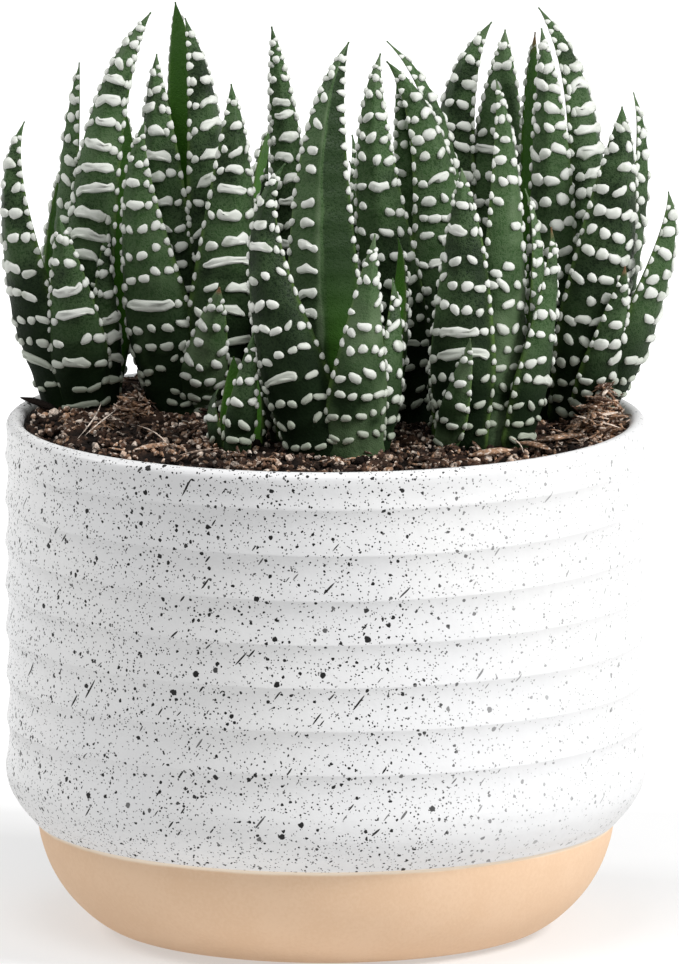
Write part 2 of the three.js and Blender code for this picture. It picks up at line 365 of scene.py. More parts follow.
def grain() -> Tree:
    """Build the fine grain that skin, clay and soil share.

    Returns:
        A group that gives a height, cloudy noise with small round pits in it, and a tone, the
        mean of that noise and of one 17 times as slow.
    """
    tree, g, given = effect("fine_grain", ("Scale", "Pits"), ("Height", "Tone"))
    vector, scale, pits = given.outputs[:3]
    cloud = g.noise(vector, scale, 3.0)
    cells = g.add("ShaderNodeTexVoronoi", {"Vector": vector, "Scale": g.times(scale, 1.7)})
    pit = g.times(g.rise(cells.outputs["Distance"], 0.0, 0.5), pits)
    slow = g.noise(vector, g.times(scale, 0.06))
    tone = g.plus(g.times(cloud, 0.5), g.times(slow, 0.5))
    g.add("NodeGroupOutput", {"Height": g.plus(cloud, pit), "Tone": tone})
    return tree


def fine_grain(g: Graph, place: Socket, scale: float, pits: float) -> Node:
    """Place the fine grain in a material's tree."""
    return g.group(shared("fine_grain", grain), {"Vector": place, "Scale": scale, "Pits": pits})


def flecks() -> Tree:
    """Build one size of glaze flecks.

    Returns:
        A group that fills space with uneven cells and puts a round dot of its own size and
        shade in a share of them. It gives a mask of the dots and their shades.
    """
    tree, g, given = effect("glaze_flecks", ("Cell", "Radius", "Share"), ("Mask", "Shade"))
    vector, cell, radius, share = given.outputs[:4]
    cells = g.add("ShaderNodeTexVoronoi", {"Vector": vector, "Scale": g.math("DIVIDE", 1.0, cell)})
    chance = g.add("ShaderNodeSeparateColor", {"Color": cells.outputs["Color"]})
    own = g.plus(g.times(chance.outputs[0], 0.5), 0.5)
    size = g.times(g.math("DIVIDE", radius, cell), own)
    inside = g.math("SUBTRACT", 1.0, g.math("DIVIDE", cells.outputs["Distance"], size))
    kept = g.math("LESS_THAN", chance.outputs[1], share)
    mask = g.times(g.rise(inside, 0.0, 0.15), kept)
    g.add("NodeGroupOutput", {"Mask": mask, "Shade": chance.outputs[2]})
    return tree


@dataclass(frozen=True)
class GlazeFinish:
    """White stoneware glaze with dark iron flecks of three sizes and slanted splashes of two.

    waver is how far, in metres, a fleck's outline strays, slant how many radians the splashes
    turn for each metre down, sway how unevenly, and tall and streaked how much their space is
    squeezed in height. From left to right over fades_over the flecks fall to the fewest share and
    grow paler, painted light where the lamps wash out the pot's right side.
    """

    white: Colour = (0.745, 0.745, 0.745, 1.0)
    milk: Colour = (0.72, 0.722, 0.728, 1.0)
    iron: Colour = (0.004, 0.004, 0.004, 1.0)
    ash: Colour = (0.14, 0.14, 0.14, 1.0)
    waver: float = 0.0006
    slant: float = 14.0
    sway: float = 0.09
    tall: float = 0.3
    streaked: float = 0.15
    fades_over: tuple[float, float] = (0.006, 0.044)
    fewest: float = 0.42

    def material(self) -> Material:
        """Build the glaze.

        Returns:
            Two whites that drift into each other under five layers of flecks, which are fewer
            and paler at the right, painted light where the lamps wash the pot out. The splashes
            are dots in a space that is twisted about the pot's axis and squeezed in height.
        """
        made, g = material("speckled_glaze")
        place = g.place()
        cloud = g.add("ShaderNodeTexNoise", {"Vector": place, "Scale": 1400.0, "Detail": 1.0})
        shift = g.vector("SUBTRACT", cloud.outputs["Color"], (0.5, 0.5, 0.5))
        uneven = g.vector("ADD", place, g.vector("MULTIPLY", shift, (self.waver,) * 3))
        twist = g.plus(g.times(g.axis(place, 2), -self.slant), g.times(g.noise(place, 60.0), self.sway))
        turn = g.add("ShaderNodeVectorRotate", {"Vector": place, "Angle": twist}, rotation_type="Z_AXIS")
        tall = g.vector("MULTIPLY", turn.outputs[0], (1.0, 1.0, self.tall))
        streaked = g.vector("MULTIPLY", turn.outputs[0], (1.0, 1.0, self.streaked))
        layers = [
            # space, cell, radius of the largest dot, share of the cells that have one
            (uneven, 0.00058, 0.00018, 0.9),
            (uneven, 0.00142, 0.00036, 0.95),
            (uneven, 0.0037, 0.00062, 0.95),
            (tall, 0.0018, 0.00028, 0.6),
            (streaked, 0.0023, 0.0003, 0.5),
        ]
        colour = g.mix(g.rise(g.noise(place, 22.0), 0.4, 0.62), self.white, self.milk)
        # Painted light: towards the lit right side the flecks thin out and turn paler.
        lit_fade = g.rise(g.axis(place, 0), *self.fades_over)
        clear = g.rise(lit_fade, 0.0, 1.0, 1.0, 0.5)
        mask: Input = 0.0
        for vector, cell, radius, share in layers:
            fewer = g.rise(lit_fade, 0.0, 1.0, share, self.fewest * share)
            given = {"Vector": vector, "Cell": cell, "Radius": radius, "Share": fewer}
            dots = g.group(shared("glaze_flecks", flecks), given)
            shade = g.mix(g.rise(dots.outputs["Shade"], 0.78, 1.0), self.iron, self.ash)
            colour = g.mix(g.times(dots.outputs["Mask"], clear), colour, shade)
            mask = g.math("MAXIMUM", mask, dots.outputs["Mask"])
        ripple = g.bump(g.noise(place, 260.0), 0.0004, 0.35)
        sunk = g.bump(g.math("SUBTRACT", 1.0, mask), 0.00008, 0.5, ripple)
        g.finish({
            "Base Color": colour,
            "Roughness": g.rise(mask, 0.0, 1.0, 0.38, 0.6),
            "Normal": sunk,
            "Specular IOR Level": 0.36,
            "Coat Weight": 0.06,
            "Coat Roughness": 0.2,
        })
        return made


@dataclass(frozen=True)
class ClayFinish:
    """Bare buff clay with a fine matt grain, paler in a thin line under the edge of the glaze."""

    buff: Colour = (0.72, 0.50, 0.33, 1.0)
    sand: Colour = (0.75, 0.535, 0.365, 1.0)
    cream: Colour = (0.86, 0.74, 0.60, 1.0)
    edge: float = 19.2

    def material(self) -> Material:
        """Build the clay.

        Returns:
            Two buffs by the grain's tone, a wavy cream line under the edge, and grain as bump.
        """
        made, g = material("bare_clay")
        place = g.place()
        height = g.plus(g.axis(place, 2), g.times(g.noise(place, 90.0), 0.0006))
        fine = fine_grain(g, place, 1500.0, 0.4)
        body = g.mix(g.rise(fine.outputs["Tone"], 0.38, 0.62), self.buff, self.sand)
        line = g.rise(height, (self.edge - 0.7) * MM, (self.edge - 0.1) * MM)
        g.finish({
            "Base Color": g.mix(line, body, self.cream),
            "Roughness": g.rise(fine.outputs["Tone"], 0.3, 0.7, 0.78, 0.9),
            "Normal": g.bump(fine.outputs["Height"], 0.00008, 0.3),
            "Specular IOR Level": 0.3,
        })
        return made


@dataclass(frozen=True)
class LeafFinish:
    """Dark bluish-green skin with a fine grain, fresher green inside and low down, some tips dried."""

    deep: Colour = (0.004, 0.013, 0.003, 1.0)
    skin: Colour = (0.029, 0.073, 0.019, 1.0)
    light: Colour = (0.120, 0.170, 0.093, 1.0)
    bloom: Colour = (0.090, 0.142, 0.067, 1.0)
    margin: Colour = (0.095, 0.170, 0.036, 1.0)
    fresh: Colour = (0.052, 0.165, 0.012, 1.0)
    # root is painted shade: the nearly black green of the leaves' low parts, down among the others.
    root: Colour = (0.002, 0.009, 0.001, 1.0)
    dried: Colour = (0.260, 0.120, 0.070, 1.0)

    def material(self) -> Material:
        """Build the skin.

        Returns:
            Deep green to pale green by noise and by each leaf's own tone, which also carries
            painted light and shade, paler on the grain's peaks, painted shade of nearly black green
            low down among the leaves, yellower along the edges, fresh green inside and low on a sparse
            leaf's shaded side, and brown where the tip has dried. It is duller low down.
        """
        made, g = material("leaf_skin")
        place = g.place()
        fine = fine_grain(g, place, 1900.0, 0.5)
        tone = g.plus(g.noise(place, 120.0), g.times(g.value("tone"), 0.14))
        colour = g.mix(g.rise(tone, 0.3, 0.62), self.deep, self.skin)
        colour = g.mix(g.rise(tone, 0.62, 0.95), colour, self.light)
        peaks = g.rise(fine.outputs["Height"], 0.74, 1.04)
        peaks = g.times(peaks, g.rise(tone, 0.15, 0.6, 0.12, 0.6))
        colour = g.mix(peaks, colour, self.bloom)
        # Painted shade: low on each leaf the skin turns nearly black green, less so on the paler leaves.
        low = g.rise(g.value("along"), 0.6, 0.12, 0.0, 0.95)
        colour = g.mix(g.times(low, g.rise(tone, 0.6, 0.85, 1.0, 0.2)), colour, self.root)
        rim = g.times(g.value("edge"), g.rise(g.noise(place, 260.0), 0.35, 0.6, 0.15, 0.7))
        colour = g.mix(rim, colour, self.margin)
        young = g.times(g.value("inner"), g.rise(g.value("along"), 0.98, 0.3, 0.5, 1.0))
        colour = g.mix(young, colour, self.fresh)
        blotches = g.rise(g.noise(place, 700.0), 0.35, 0.6, 0.5, 1.0)
        dry = g.math("MULTIPLY", g.value("dry"), blotches, clamp=True)
        colour = g.mix(dry, colour, self.dried)
        g.finish({
            "Base Color": colour,
            "Roughness": g.plus(g.rise(fine.outputs["Tone"], 0.3, 0.7, 0.4, 0.56), g.times(low, 0.3)),
            "Normal": g.bump(fine.outputs["Height"], 0.00018, 0.7),
            "Specular IOR Level": 0.12,
        })
        return made


@dataclass(frozen=True)
class TubercleFinish:
    """Chalky white of the raised dots and bars, with painted shade low on the leaf and duller greenish
    patches here and there.
    """

    chalk: Colour = (0.66, 0.68, 0.63, 1.0)
    # A dull greenish white for patches, and the painted shade of marks low on the leaf.
    dull_and_shade: Colour = (0.27, 0.31, 0.23, 1.0)

    def material(self) -> Material:
        """Build the white.

        Returns:
            Chalk, mixed with a duller tone in patches and, as painted shade, towards the leaf's base.
        """
        made, g = material("tubercle_white")
        place = g.place()
        fine = fine_grain(g, place, 2400.0, 0.3)
        # Painted shade: the marks darken towards the leaf's base, where it sits among the other leaves.
        low = g.rise(g.value("along"), 0.45, 0.04, 0.0, 0.85)
        patchy = g.times(g.rise(g.noise(place, 420.0), 0.5, 0.75), 0.5)
        g.finish({
            "Base Color": g.mix(g.math("MAXIMUM", low, patchy), self.chalk, self.dull_and_shade),
            "Roughness": g.rise(fine.outputs["Tone"], 0.3, 0.7, 0.45, 0.6),
            "Normal": g.bump(fine.outputs["Height"], 0.00008, 0.4),
            "Specular IOR Level": 0.4,
        })
        return made


@dataclass(frozen=True)
class SoilFinish:
    """Damp bark compost: each crumb carries its own tint from black brown to pale straw."""

    black: Colour = (0.006, 0.004, 0.003, 1.0)
    brown: Colour = (0.104, 0.056, 0.036, 1.0)
    rust: Colour = (0.420, 0.250, 0.155, 1.0)
    straw: Colour = (0.820, 0.700, 0.600, 1.0)

    def material(self) -> Material:
        """Build the compost.

        Returns:
            The crumb's tint picks its colour, straw-coloured painted glints lighten all but the
            darkest crumbs, grain darkens them, and they glint where damp.
        """
        made, g = material("bark_soil")
        place = g.place()
        fine = fine_grain(g, place, 1300.0, 0.8)
        tint = g.value("tint")
        colour = g.mix(g.rise(tint, 0.05, 0.45), self.black, self.brown)
        colour = g.mix(g.rise(tint, 0.5, 0.8), colour, self.rust)
        colour = g.mix(g.rise(tint, 0.88, 0.98), colour, self.straw)
        # Painted glints: straw-coloured sparkles of light on all but the darkest crumbs.
        painted_glints = g.rise(g.noise(place, 1500.0), 0.52, 0.65)
        painted_glints = g.times(painted_glints, g.rise(tint, 0.25, 0.6, 0.0, 0.85))
        colour = g.mix(painted_glints, colour, self.straw)
        colour = g.mix(g.rise(fine.outputs["Tone"], 0.58, 0.42, 0.0, 0.8), colour, self.black)
        damp = g.rise(g.noise(place, 900.0), 0.35, 0.65, 0.2, 0.8)
        g.finish({
            "Base Color": colour,
            "Roughness": g.math("MAXIMUM", g.rise(tint, 0.3, 0.95, 0.95, 0.25), damp),
            "Normal": g.bump(fine.outputs["Height"], 0.0003, 0.7),
            "Specular IOR Level": 0.15,
        })
        return made


@dataclass(frozen=True)
class FloorFinish:
    """Plain pale studio paper, which glows near the pot and behind it. Distances are in metres."""

    paper: Colour = (0.46, 0.46, 0.46, 1.0)
    pale: Colour = (0.5, 0.5, 0.5, 1.0)
    glow_near: float = 0.42
    glow_far: float = 0.95
    near: tuple[float, float] = (0.09, 0.3)
    far: tuple[float, float] = (0.0, 0.22)

    def material(self) -> Material:
        """Build the paper.

        Returns:
            A pale grey sheet that glows under the object and behind it, so that it stays white
            there in the picture without lighting the object's front from below.
        """
        made, g = material("studio_paper")
        place = g.place()
        tone = g.mix(g.rise(g.noise(place, 3.0), 0.3, 0.7), self.paper, self.pale)
        away = g.add("ShaderNodeVectorMath", {0: place}, operation="LENGTH").outputs["Value"]
        near = g.rise(away, *self.near, self.glow_near, 0.0)
        behind = g.rise(g.axis(place, 1), *self.far, 0.0, self.glow_far)
        g.finish({
            "Base Color": tone,
            "Roughness": 0.9,
            "Specular IOR Level": 0.0,
            "Emission Color": (1.0, 1.0, 1.0, 1.0),
            "Emission Strength": g.math("MAXIMUM", near, behind),
        })
        return made


@dataclass
class Pot:
    """The round pot: a ribbed, glazed wall that turns in to a bare clay base."""

    radius: float = 56.0
    height: float = 90.0
    wall: float = 3.2
    floor: float = 7.0
    around: int = 216
    ridge_top: float = 83.6
    ridge_pitch: float = 7.8
    ridge_count: int = 8
    ridge_depth: float = 0.52
    wavers_from: float = 24.0
    wavers_to: float = 88.0
    glaze_edge: tuple[float, float] = (50.9, 19.2)
    foot_radius: float = 35.0

    @property
    def lowest_ridge(self) -> float:
        """Give the height of the lowest ridge."""
        return self.ridge_top - (self.ridge_count - 1) * self.ridge_pitch

    def ribbed_wall(self) -> Array:
        """Draw the wall from its lowest ridge up to its highest.

        Returns:
            Radius and height pairs. Between two ridges the radius falls by the depth times
            4f(1 - f)(1 + 0.6(2f - 1)), where f goes from 0 at the lower ridge to 1 at the upper
            one, so each ridge is a cusp with its steep side below.
        """
        f = np.array([0.0, 0.02, 0.06, 0.12, 0.2, 0.3, 0.42, 0.55, 0.68, 0.8, 0.88, 0.94, 0.98])
        z = self.lowest_ridge + self.ridge_pitch * (np.arange(self.ridge_count - 1)[:, None] + f)
        r = self.radius - self.ridge_depth * 4 * f * (1 - f) * (1 + 0.6 * (2 * f - 1)) + 0 * z
        return np.stack([r, z], -1).reshape(-1, 2)

    def profile(self) -> tuple[Array, int]:
        """Draw the pot's section from the middle of its foot over the lip to the middle of its floor.

        Returns:
            Radius and height pairs, and how many of them belong to the bare clay.
        """
        r, top, inner = self.radius, self.height, self.radius - self.wall
        edge_r, edge_z = self.glaze_edge
        bowl = [(38.4, 0.75), (42.0, 3.1), (45.6, 6.8), (48.2, 11.0), (49.8, 15.4)]
        clay = smooth_curve([(self.foot_radius, 0.0), *bowl, (edge_r - 0.4, edge_z - 0.15)], 5)
        foot = np.stack([np.linspace(6, self.foot_radius - 1, 6), np.zeros(6)], -1)
        step = [(edge_r - 0.1, edge_z - 0.1), (edge_r + 0.35, edge_z + 0.15)]
        bend = [(52.1, 20.4), (53.2, 21.6), (54.4, 23.3), (55.45, 25.3)]
        turn = smooth_curve([*step, *bend, (r, self.lowest_ridge - 1.2)], 4)
        crest = smooth_curve([(r, self.ridge_top), (r - 0.3, top - 4.4), (r - 0.22, top - 2.2)], 5)
        a = np.linspace(0.12, math.pi, 12)
        half = self.wall / 2 - 0.1
        lip = np.stack([inner + self.wall / 2 - 0.05 + half * np.cos(a), top - 1.55 + 1.6 * np.sin(a)], -1)
        inside = [(inner, top - 4), (inner, 30), (47.5, 20), (45, 12)]
        hollow = smooth_curve([*inside, (40, self.floor), (2, self.floor)], 3)
        parts = [foot, clay, turn, self.ribbed_wall(), crest, lip, hollow]
        return np.concatenate(parts), len(foot) + len(clay)

    def build(self) -> bpy.types.Object:
        """Turn the section about Z.

        Returns:
            The pot. Each ridge wavers around the pot, as a thrown one does: slow sines of the
            angle and the height lift or lower the wall by up to 0.34 mm, and push it out or in
            by up to 0.14 mm.
        """
        line, clay_rows = self.profile()
        angle = np.arange(self.around) / self.around * TAU
        r, z = line[:, :1], line[:, 1:]
        on_wall = smooth((z - self.wavers_from) / 8) * smooth((self.wavers_to - z) / 4)
        outer = on_wall * (r > self.radius - 1.5)
        lift = 0.22 * np.sin(angle + z / 11) + 0.12 * np.sin(3 * angle - z / 7)
        push = 0.09 * np.sin(2 * angle + z / 9) + 0.05 * np.sin(5 * angle + z / 5)
        rr = r + outer * push
        rings = np.stack([rr * np.cos(angle), rr * np.sin(angle), z + outer * lift], -1)
        shell = closed_rings(rings[None], np.array([[0.0, 0.0, 0.0]]), np.array([[0.0, 0.0, self.floor]]))
        row = shell.triangles.min(1) // self.around
        in_foot = shell.triangles.max(1) == len(shell.points) - 2
        shell.finish = np.where((row < clay_rows) | in_foot, 1, 0)
        return shell.piece("ribbed_pot", [GlazeFinish().material(), ClayFinish().material()])

    def dress(self) -> None:
        """Put the pot in the scene in place of its plain solid."""
        pot = self.build()
        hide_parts("pot")
        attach(pot, BODY)


@dataclass
class Soil:
    """The bark compost: a lumpy bed under loose crumbs, bark slivers, straws and a few chips."""

    radius: float = 52.5
    level: float = 89.6
    tilt: tuple[float, float] = (-0.02, 0.03)
    edge_fall: float = 1.6
    edge_width: float = 8.5
    bump: float = 0.27
    bottom: float = 78.0
    bed_rows: int = 62
    bed_around: int = 230
    crumbs: int = 5000
    sides: int = 6
    slivers: int = 520
    heap_half: float = 11.0
    heap_reach: float = 50.5
    heaps: tuple[tuple[float, ...], ...] = ((330, 48.5, -2.5, 8.5, 7.0), (110, -33.5, 0.0, 4.0, 3.6))
    seed: int = 11

    def level_at(self, x: Array, y: Array) -> Array:
        """Give the level without lumps: a little higher at the back and at the left."""
        return self.level + self.tilt[0] * x + self.tilt[1] * y

    def height_at(self, x: Array, y: Array) -> Array:
        """Give the top's height.

        Args:
            x: Places along X.
            y: Places along Y.

        Returns:
            The level, which falls smoothly by the wall, plus low bumps from products and sums
            of sines.
        """
        into_edge = (np.hypot(x, y) - (self.radius - self.edge_width)) / self.edge_width
        soft = np.sin(0.55 * x + 1.3) * np.cos(0.47 * y) + 0.6 * np.sin(0.9 * y - 0.4 * x)
        return self.level_at(x, y) - self.edge_fall * smooth(into_edge) + self.bump * soft

    def bed(self, rng: Rng) -> Shell:
        """Shape the bed.

        Args:
            rng: The source of its unevenness.

        Returns:
            Rings from the middle out, at the top's height plus lumps of three wavelengths, that
            then drop to a flat underside.
        """
        share = (np.arange(1, self.bed_rows + 1) / self.bed_rows)[:, None]
        angle = np.arange(self.bed_around) / self.bed_around * TAU
        x, y = self.radius * share * np.cos(angle), self.radius * share * np.sin(angle)
        rough = 0.45 * lumps(x, y, 7.0, rng) + 0.3 * lumps(x, y, 2.6, rng) + 0.16 * lumps(x, y, 1.3, rng)
        z = self.height_at(x, y) + rough - 0.2
        top = np.stack([x, y, z], -1)
        skirt = np.stack([x[-1:], y[-1:], np.full((1, len(angle)), self.bottom)], -1)
        rings = np.concatenate([top, skirt])[None]
        middle = np.array([[0.0, 0.0, float(self.height_at(np.zeros(1), np.zeros(1))[0])]])
        # The bed's tint follows its lumps, darker in the hollows: painted shade between the crumbs.
        tint = 0.1 + 0.2 * np.concatenate([rough, rough[-1:]])[None]
        return closed_rings(rings, middle, np.array([[0.0, 0.0, self.bottom]]), {"tint": tint})

    def scatter(self, count: int, rng: Rng, reach: float) -> Array:
        """Pick places on the top.

        Args:
            count: How many.
            rng: The source of places.
            reach: How far out they go, as a share of the radius.

        Returns:
            The places, as many on each square millimetre: the radius is the root of an even draw.
        """
        r = self.radius * reach * np.sqrt(rng.uniform(0, 1, count))
        a = rng.uniform(0, TAU, count)
        x, y = r * np.cos(a), r * np.sin(a)
        return np.stack([x, y, self.height_at(x, y)], -1)

    def grains(self, rng: Rng) -> Shell:
        """Strew crumbs.

        Args:
            rng: The source of places, sizes and turns.

        Returns:
            Each crumb is a ball of three rings, whose points are pushed in or out by up to 28%,
            stretched by up to 35% along each of its axes and turned at random.
        """
        n = self.crumbs
        place = self.scatter(n, rng, 0.985)
        size = 0.27 + 0.8 * rng.beta(1.1, 4.0, n)
        turn = np.linalg.qr(rng.normal(size=(n, 3, 3)))[0]
        polar = np.array([0.7, 1.57, 2.45])[:, None]
        angle = np.arange(self.sides) / self.sides * TAU
        flat = np.sin(polar)
        ball = np.stack([flat * np.cos(angle), flat * np.sin(angle), np.cos(polar) + 0 * angle], -1)
        uneven = rng.uniform(0.72, 1.28, (n, 3, self.sides, 1))
        stretch = rng.uniform(0.65, 1.35, (n, 1, 1, 3)) * size[:, None, None, None]
        rings = np.einsum("nrai,nij->nraj", ball * uneven * stretch, turn) + place[:, None, None]
        poles = np.array([[0, 0, 1.0], [0, 0, -1.0]]) * stretch[:, 0]
        ends = np.einsum("npi,nij->npj", poles, turn) + place[:, None]
        lift = (0.25 * size)[:, None]
        rings[..., 2] += lift[..., None]
        ends[..., 2] += lift
        tint = rng.beta(1.5, 2.2, n)
        tint = np.where(rng.uniform(size=n) < 0.2, rng.uniform(0.88, 1.0, n), tint * 0.95)
        tints = np.broadcast_to(tint[:, None, None], (n, 3, self.sides))
        return closed_rings(rings, ends[:, 0], ends[:, 1], {"tint": tints})

    def sliver_set(
        self,
        place: Array,
        heading: Array,
        rise: Array,
        length: Array,
        width: Array,
        thick: Array,
        bend: Array,
        tint: Array,
    ) -> Shell:
        """Make slivers: flattened rods that bend and taper to both ends.

        Args:
            place: The middle of each.
            heading: Its direction over the plane, in radians.
            rise: How steeply it climbs, as a slope.
            length: Its length.
            width: Its width.
            thick: Its thickness.
            bend: How far its middle bows sideways and up.
            tint: Its place in the soil's colours.

        Returns:
            Each is 5 rings of 6 points. At v from -1 to 1 along it the section shrinks by
            (1 - 0.75 v^4) and the middle line leaves the straight by bend (1 - v^2).
        """
        n = len(place)
        v = np.linspace(-1, 1, 5)
        ahead = unit(np.stack([np.cos(heading), np.sin(heading), rise], -1))
        beside = unit(np.cross(ahead, [0.0, 0.0, 1.0]))
        up = np.cross(beside, ahead)
        bow = (1 - v**2)[None, :, None]
        line = place[:, None] + ahead[:, None] * (v[None, :, None] * length[:, None, None] / 2)
        line = line + bow * bend[:, None, None] * (beside[:, None] + 0.5 * up[:, None])
        angle = np.arange(self.sides) / self.sides * TAU
        shrink = (1 - 0.75 * v**4)[None, :, None, None]
        around = (
            np.cos(angle)[None, None, :, None] * (beside * width[:, None] / 2)[:, None, None]
            + np.sin(angle)[None, None, :, None] * (up * thick[:, None] / 2)[:, None, None]
        )
        rings = line[:, :, None] + around * shrink
        tip = (length * 0.03)[:, None] * ahead
        tints = np.broadcast_to(tint[:, None, None], (n, len(v), self.sides))
        return closed_rings(rings, line[:, 0] - tip, line[:, -1] + tip, {"tint": tints})

    def bark(self, rng: Rng) -> Shell:
        """Strew bark slivers of all headings over the top.

        Args:
            rng: The source of their places, turns and sizes.

        Returns:
            The slivers, a tenth of them pale as straw.
        """
        n = self.slivers
        place = self.scatter(n, rng, 0.95)
        place[:, 2] += rng.uniform(0.1, 0.9, n)
        length = rng.uniform(1.2, 4.2, n)
        tint = np.where(rng.uniform(size=n) < 0.1, 0.95, 0.3 + 0.55 * rng.beta(1.6, 1.6, n))
        heading, rise = rng.uniform(0, TAU, n), rng.normal(0, 0.35, n)
        width, thick = rng.uniform(0.3, 1.2, n), rng.uniform(0.25, 0.7, n)
        return self.sliver_set(place, heading, rise, length, width, thick, rng.normal(0, 0.3, n), tint)

    def pile(self, heap: tuple[float, ...], rng: Rng) -> Shell:
        """Heap short torn bark along a line that runs to the front and bends to the left at both ends.

        Args:
            heap: The count of slivers, the middle's x and y, the height and the longest sliver.
            rng: The source of their places and turns.

        Returns:
            The slivers. Across the line the heap's height is a bell, and along it a parabola.
        """
        n, middle_x, middle_y, high, longest = int(heap[0]), *heap[1:]
        along, aside = rng.uniform(-1, 1, n), rng.normal(0, 1, n)
        x = middle_x + 2.0 * aside - 3.5 * along**2
        y = middle_y - self.heap_half * along + 2.0 * aside
        above = high * rng.uniform(0.0, 1, n) * np.exp(-(aside**2) / 3) * (1 - 0.75 * along**2)
        held = np.minimum(1, self.heap_reach / np.hypot(x, y))
        x, y = x * held, y * held
        place = np.stack([x, y, self.height_at(x, y) + above], -1)
        tint = np.where(rng.uniform(size=n) < 0.12, 0.95, 0.35 + 0.5 * rng.beta(1.8, 1.4, n))
        heading, rise = rng.uniform(0, TAU, n), rng.normal(0.1, 0.4, n)
        length, width = rng.uniform(1.6, longest, n), rng.uniform(0.3, 1.5, n)
        thick, bend = rng.uniform(0.25, 0.8, n), rng.normal(0, 0.5, n)
        return self.sliver_set(place, heading, rise, length, width, thick, bend, tint)

    def chips(self) -> Shell:
        """Lay a few flat chips of bark, and the straws at the left.

        Returns:
            The chips and straws, each at its own height above the top.
        """
        rows = np.array([
            # x, y, above, heading, rise, length, width, thick, bend, tint
            [40.5, -17.0, 1.0, 0.30, 0.10, 8.5, 3.2, 0.9, 0.6, 0.74],
            [36.0, -25.0, 0.9, 2.60, 0.10, 7.0, 2.6, 0.8, 0.5, 0.66],
            [28.5, -31.5, 1.2, 0.10, 0.12, 7.5, 3.2, 1.1, 0.6, 0.72],
            [-50.0, 6.0, 1.4, 2.70, 0.25, 7.5, 2.6, 1.0, 0.3, 0.10],
            [-30.0, -30.0, 0.9, 0.50, 0.05, 7.0, 2.2, 0.8, 0.6, 0.70],
            [-41.0, -20.0, 3.2, 1.10, 0.55, 10.0, 0.28, 0.24, 0.8, 0.97],
            [-39.0, -22.0, 3.0, 0.75, 0.50, 8.5, 0.25, 0.22, -0.9, 0.97],
            [-30.0, -26.0, 2.0, 2.30, 0.30, 8.0, 0.28, 0.24, 0.6, 0.94],
            [-22.0, -36.0, 1.3, 0.40, 0.10, 7.0, 0.5, 0.4, 0.5, 0.92],
            [33.0, -27.0, 1.6, 2.00, 0.30, 6.0, 0.3, 0.25, 0.5, 0.95],
        ])
        x, y = rows[:, 0], rows[:, 1]
        place = np.stack([x, y, self.height_at(x, y) + rows[:, 2]], -1)
        return self.sliver_set(place, *rows[:, 3:].T)

    def dress(self) -> None:
        """Put the soil in the scene in place of its plain solid."""
        rng = np.random.default_rng(self.seed)
        finish = [SoilFinish().material()]
        piles = [self.pile(heap, rng) for heap in self.heaps]
        parts = [self.bed(rng), self.bark(rng), *piles, self.chips()]
        soil = Shell.joined(parts).piece("bark_compost", finish)
        crumbs = self.grains(rng).piece("compost_crumbs", finish)
        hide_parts("potting_soil")
        for piece in (soil, crumbs):
            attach(piece, BODY)


class Habit(enum.Enum):
    """How a leaf's raised white marks lie across its back."""

    DOTS = "dots"
    BARS = "bars"
    MIXED = "mixed"
    SPARSE = "sparse"


@dataclass(frozen=True)
class Leaf:
    """One leaf: how it grows, and how it is marked.

    bearing is the heading that its back faces in degrees, 270 being the front, share how far out
    on the crown it starts, tip where it ends, width its greatest width, fullness 1 for an even
    taper to 3 for one that stays broad, bow how far it bulges outwards, and side how far it bends
    sideways. dry is how far its tip has browned, and pale how much lighter it is than the rest.
    """

    bearing: float
    share: float
    tip: tuple[float, float, float]
    width: float
    fullness: float
    bow: float
    side: float
    habit: Habit
    dry: float = 0.0
    pale: float = 0.0


@dataclass(frozen=True)
class LeafShape:
    """What all the leaves have in common.

    start, base_inset, least_half, least_depth, swelling, bell, sunk and ring_gap are millimetres,
    the counts of points and rings are plain numbers, and the rest are shares or powers. keel and,
    on sparse leaves, sharp_keel say how much of the rounded back turns into a roof, and where
    along the leaf that begins.
    """

    start: float = 0.7
    base_inset: float = 0.4
    base_share: float = 0.72
    depth: float = 0.62
    tip_depth: float = 0.2
    channel: float = 0.12
    rounding: float = 0.1
    bow_low: float = 0.5
    bow_high: float = 1.9
    least_half: float = 0.17
    least_depth: float = 0.22
    keel: tuple[float, float] = (0.55, 0.25)
    sharp_keel: tuple[float, float] = (0.9, 0.05)
    keel_rise: float = 0.5
    dome_flat: float = 2.4
    dome_round: float = 0.62
    swelling: float = 0.24
    bell: float = 0.95
    sunk: float = 4.0
    ring_gap: float = 0.9
    back_points: int = 17
    face_points: int = 9
    tip_rings: int = 14


SHAPE = LeafShape()


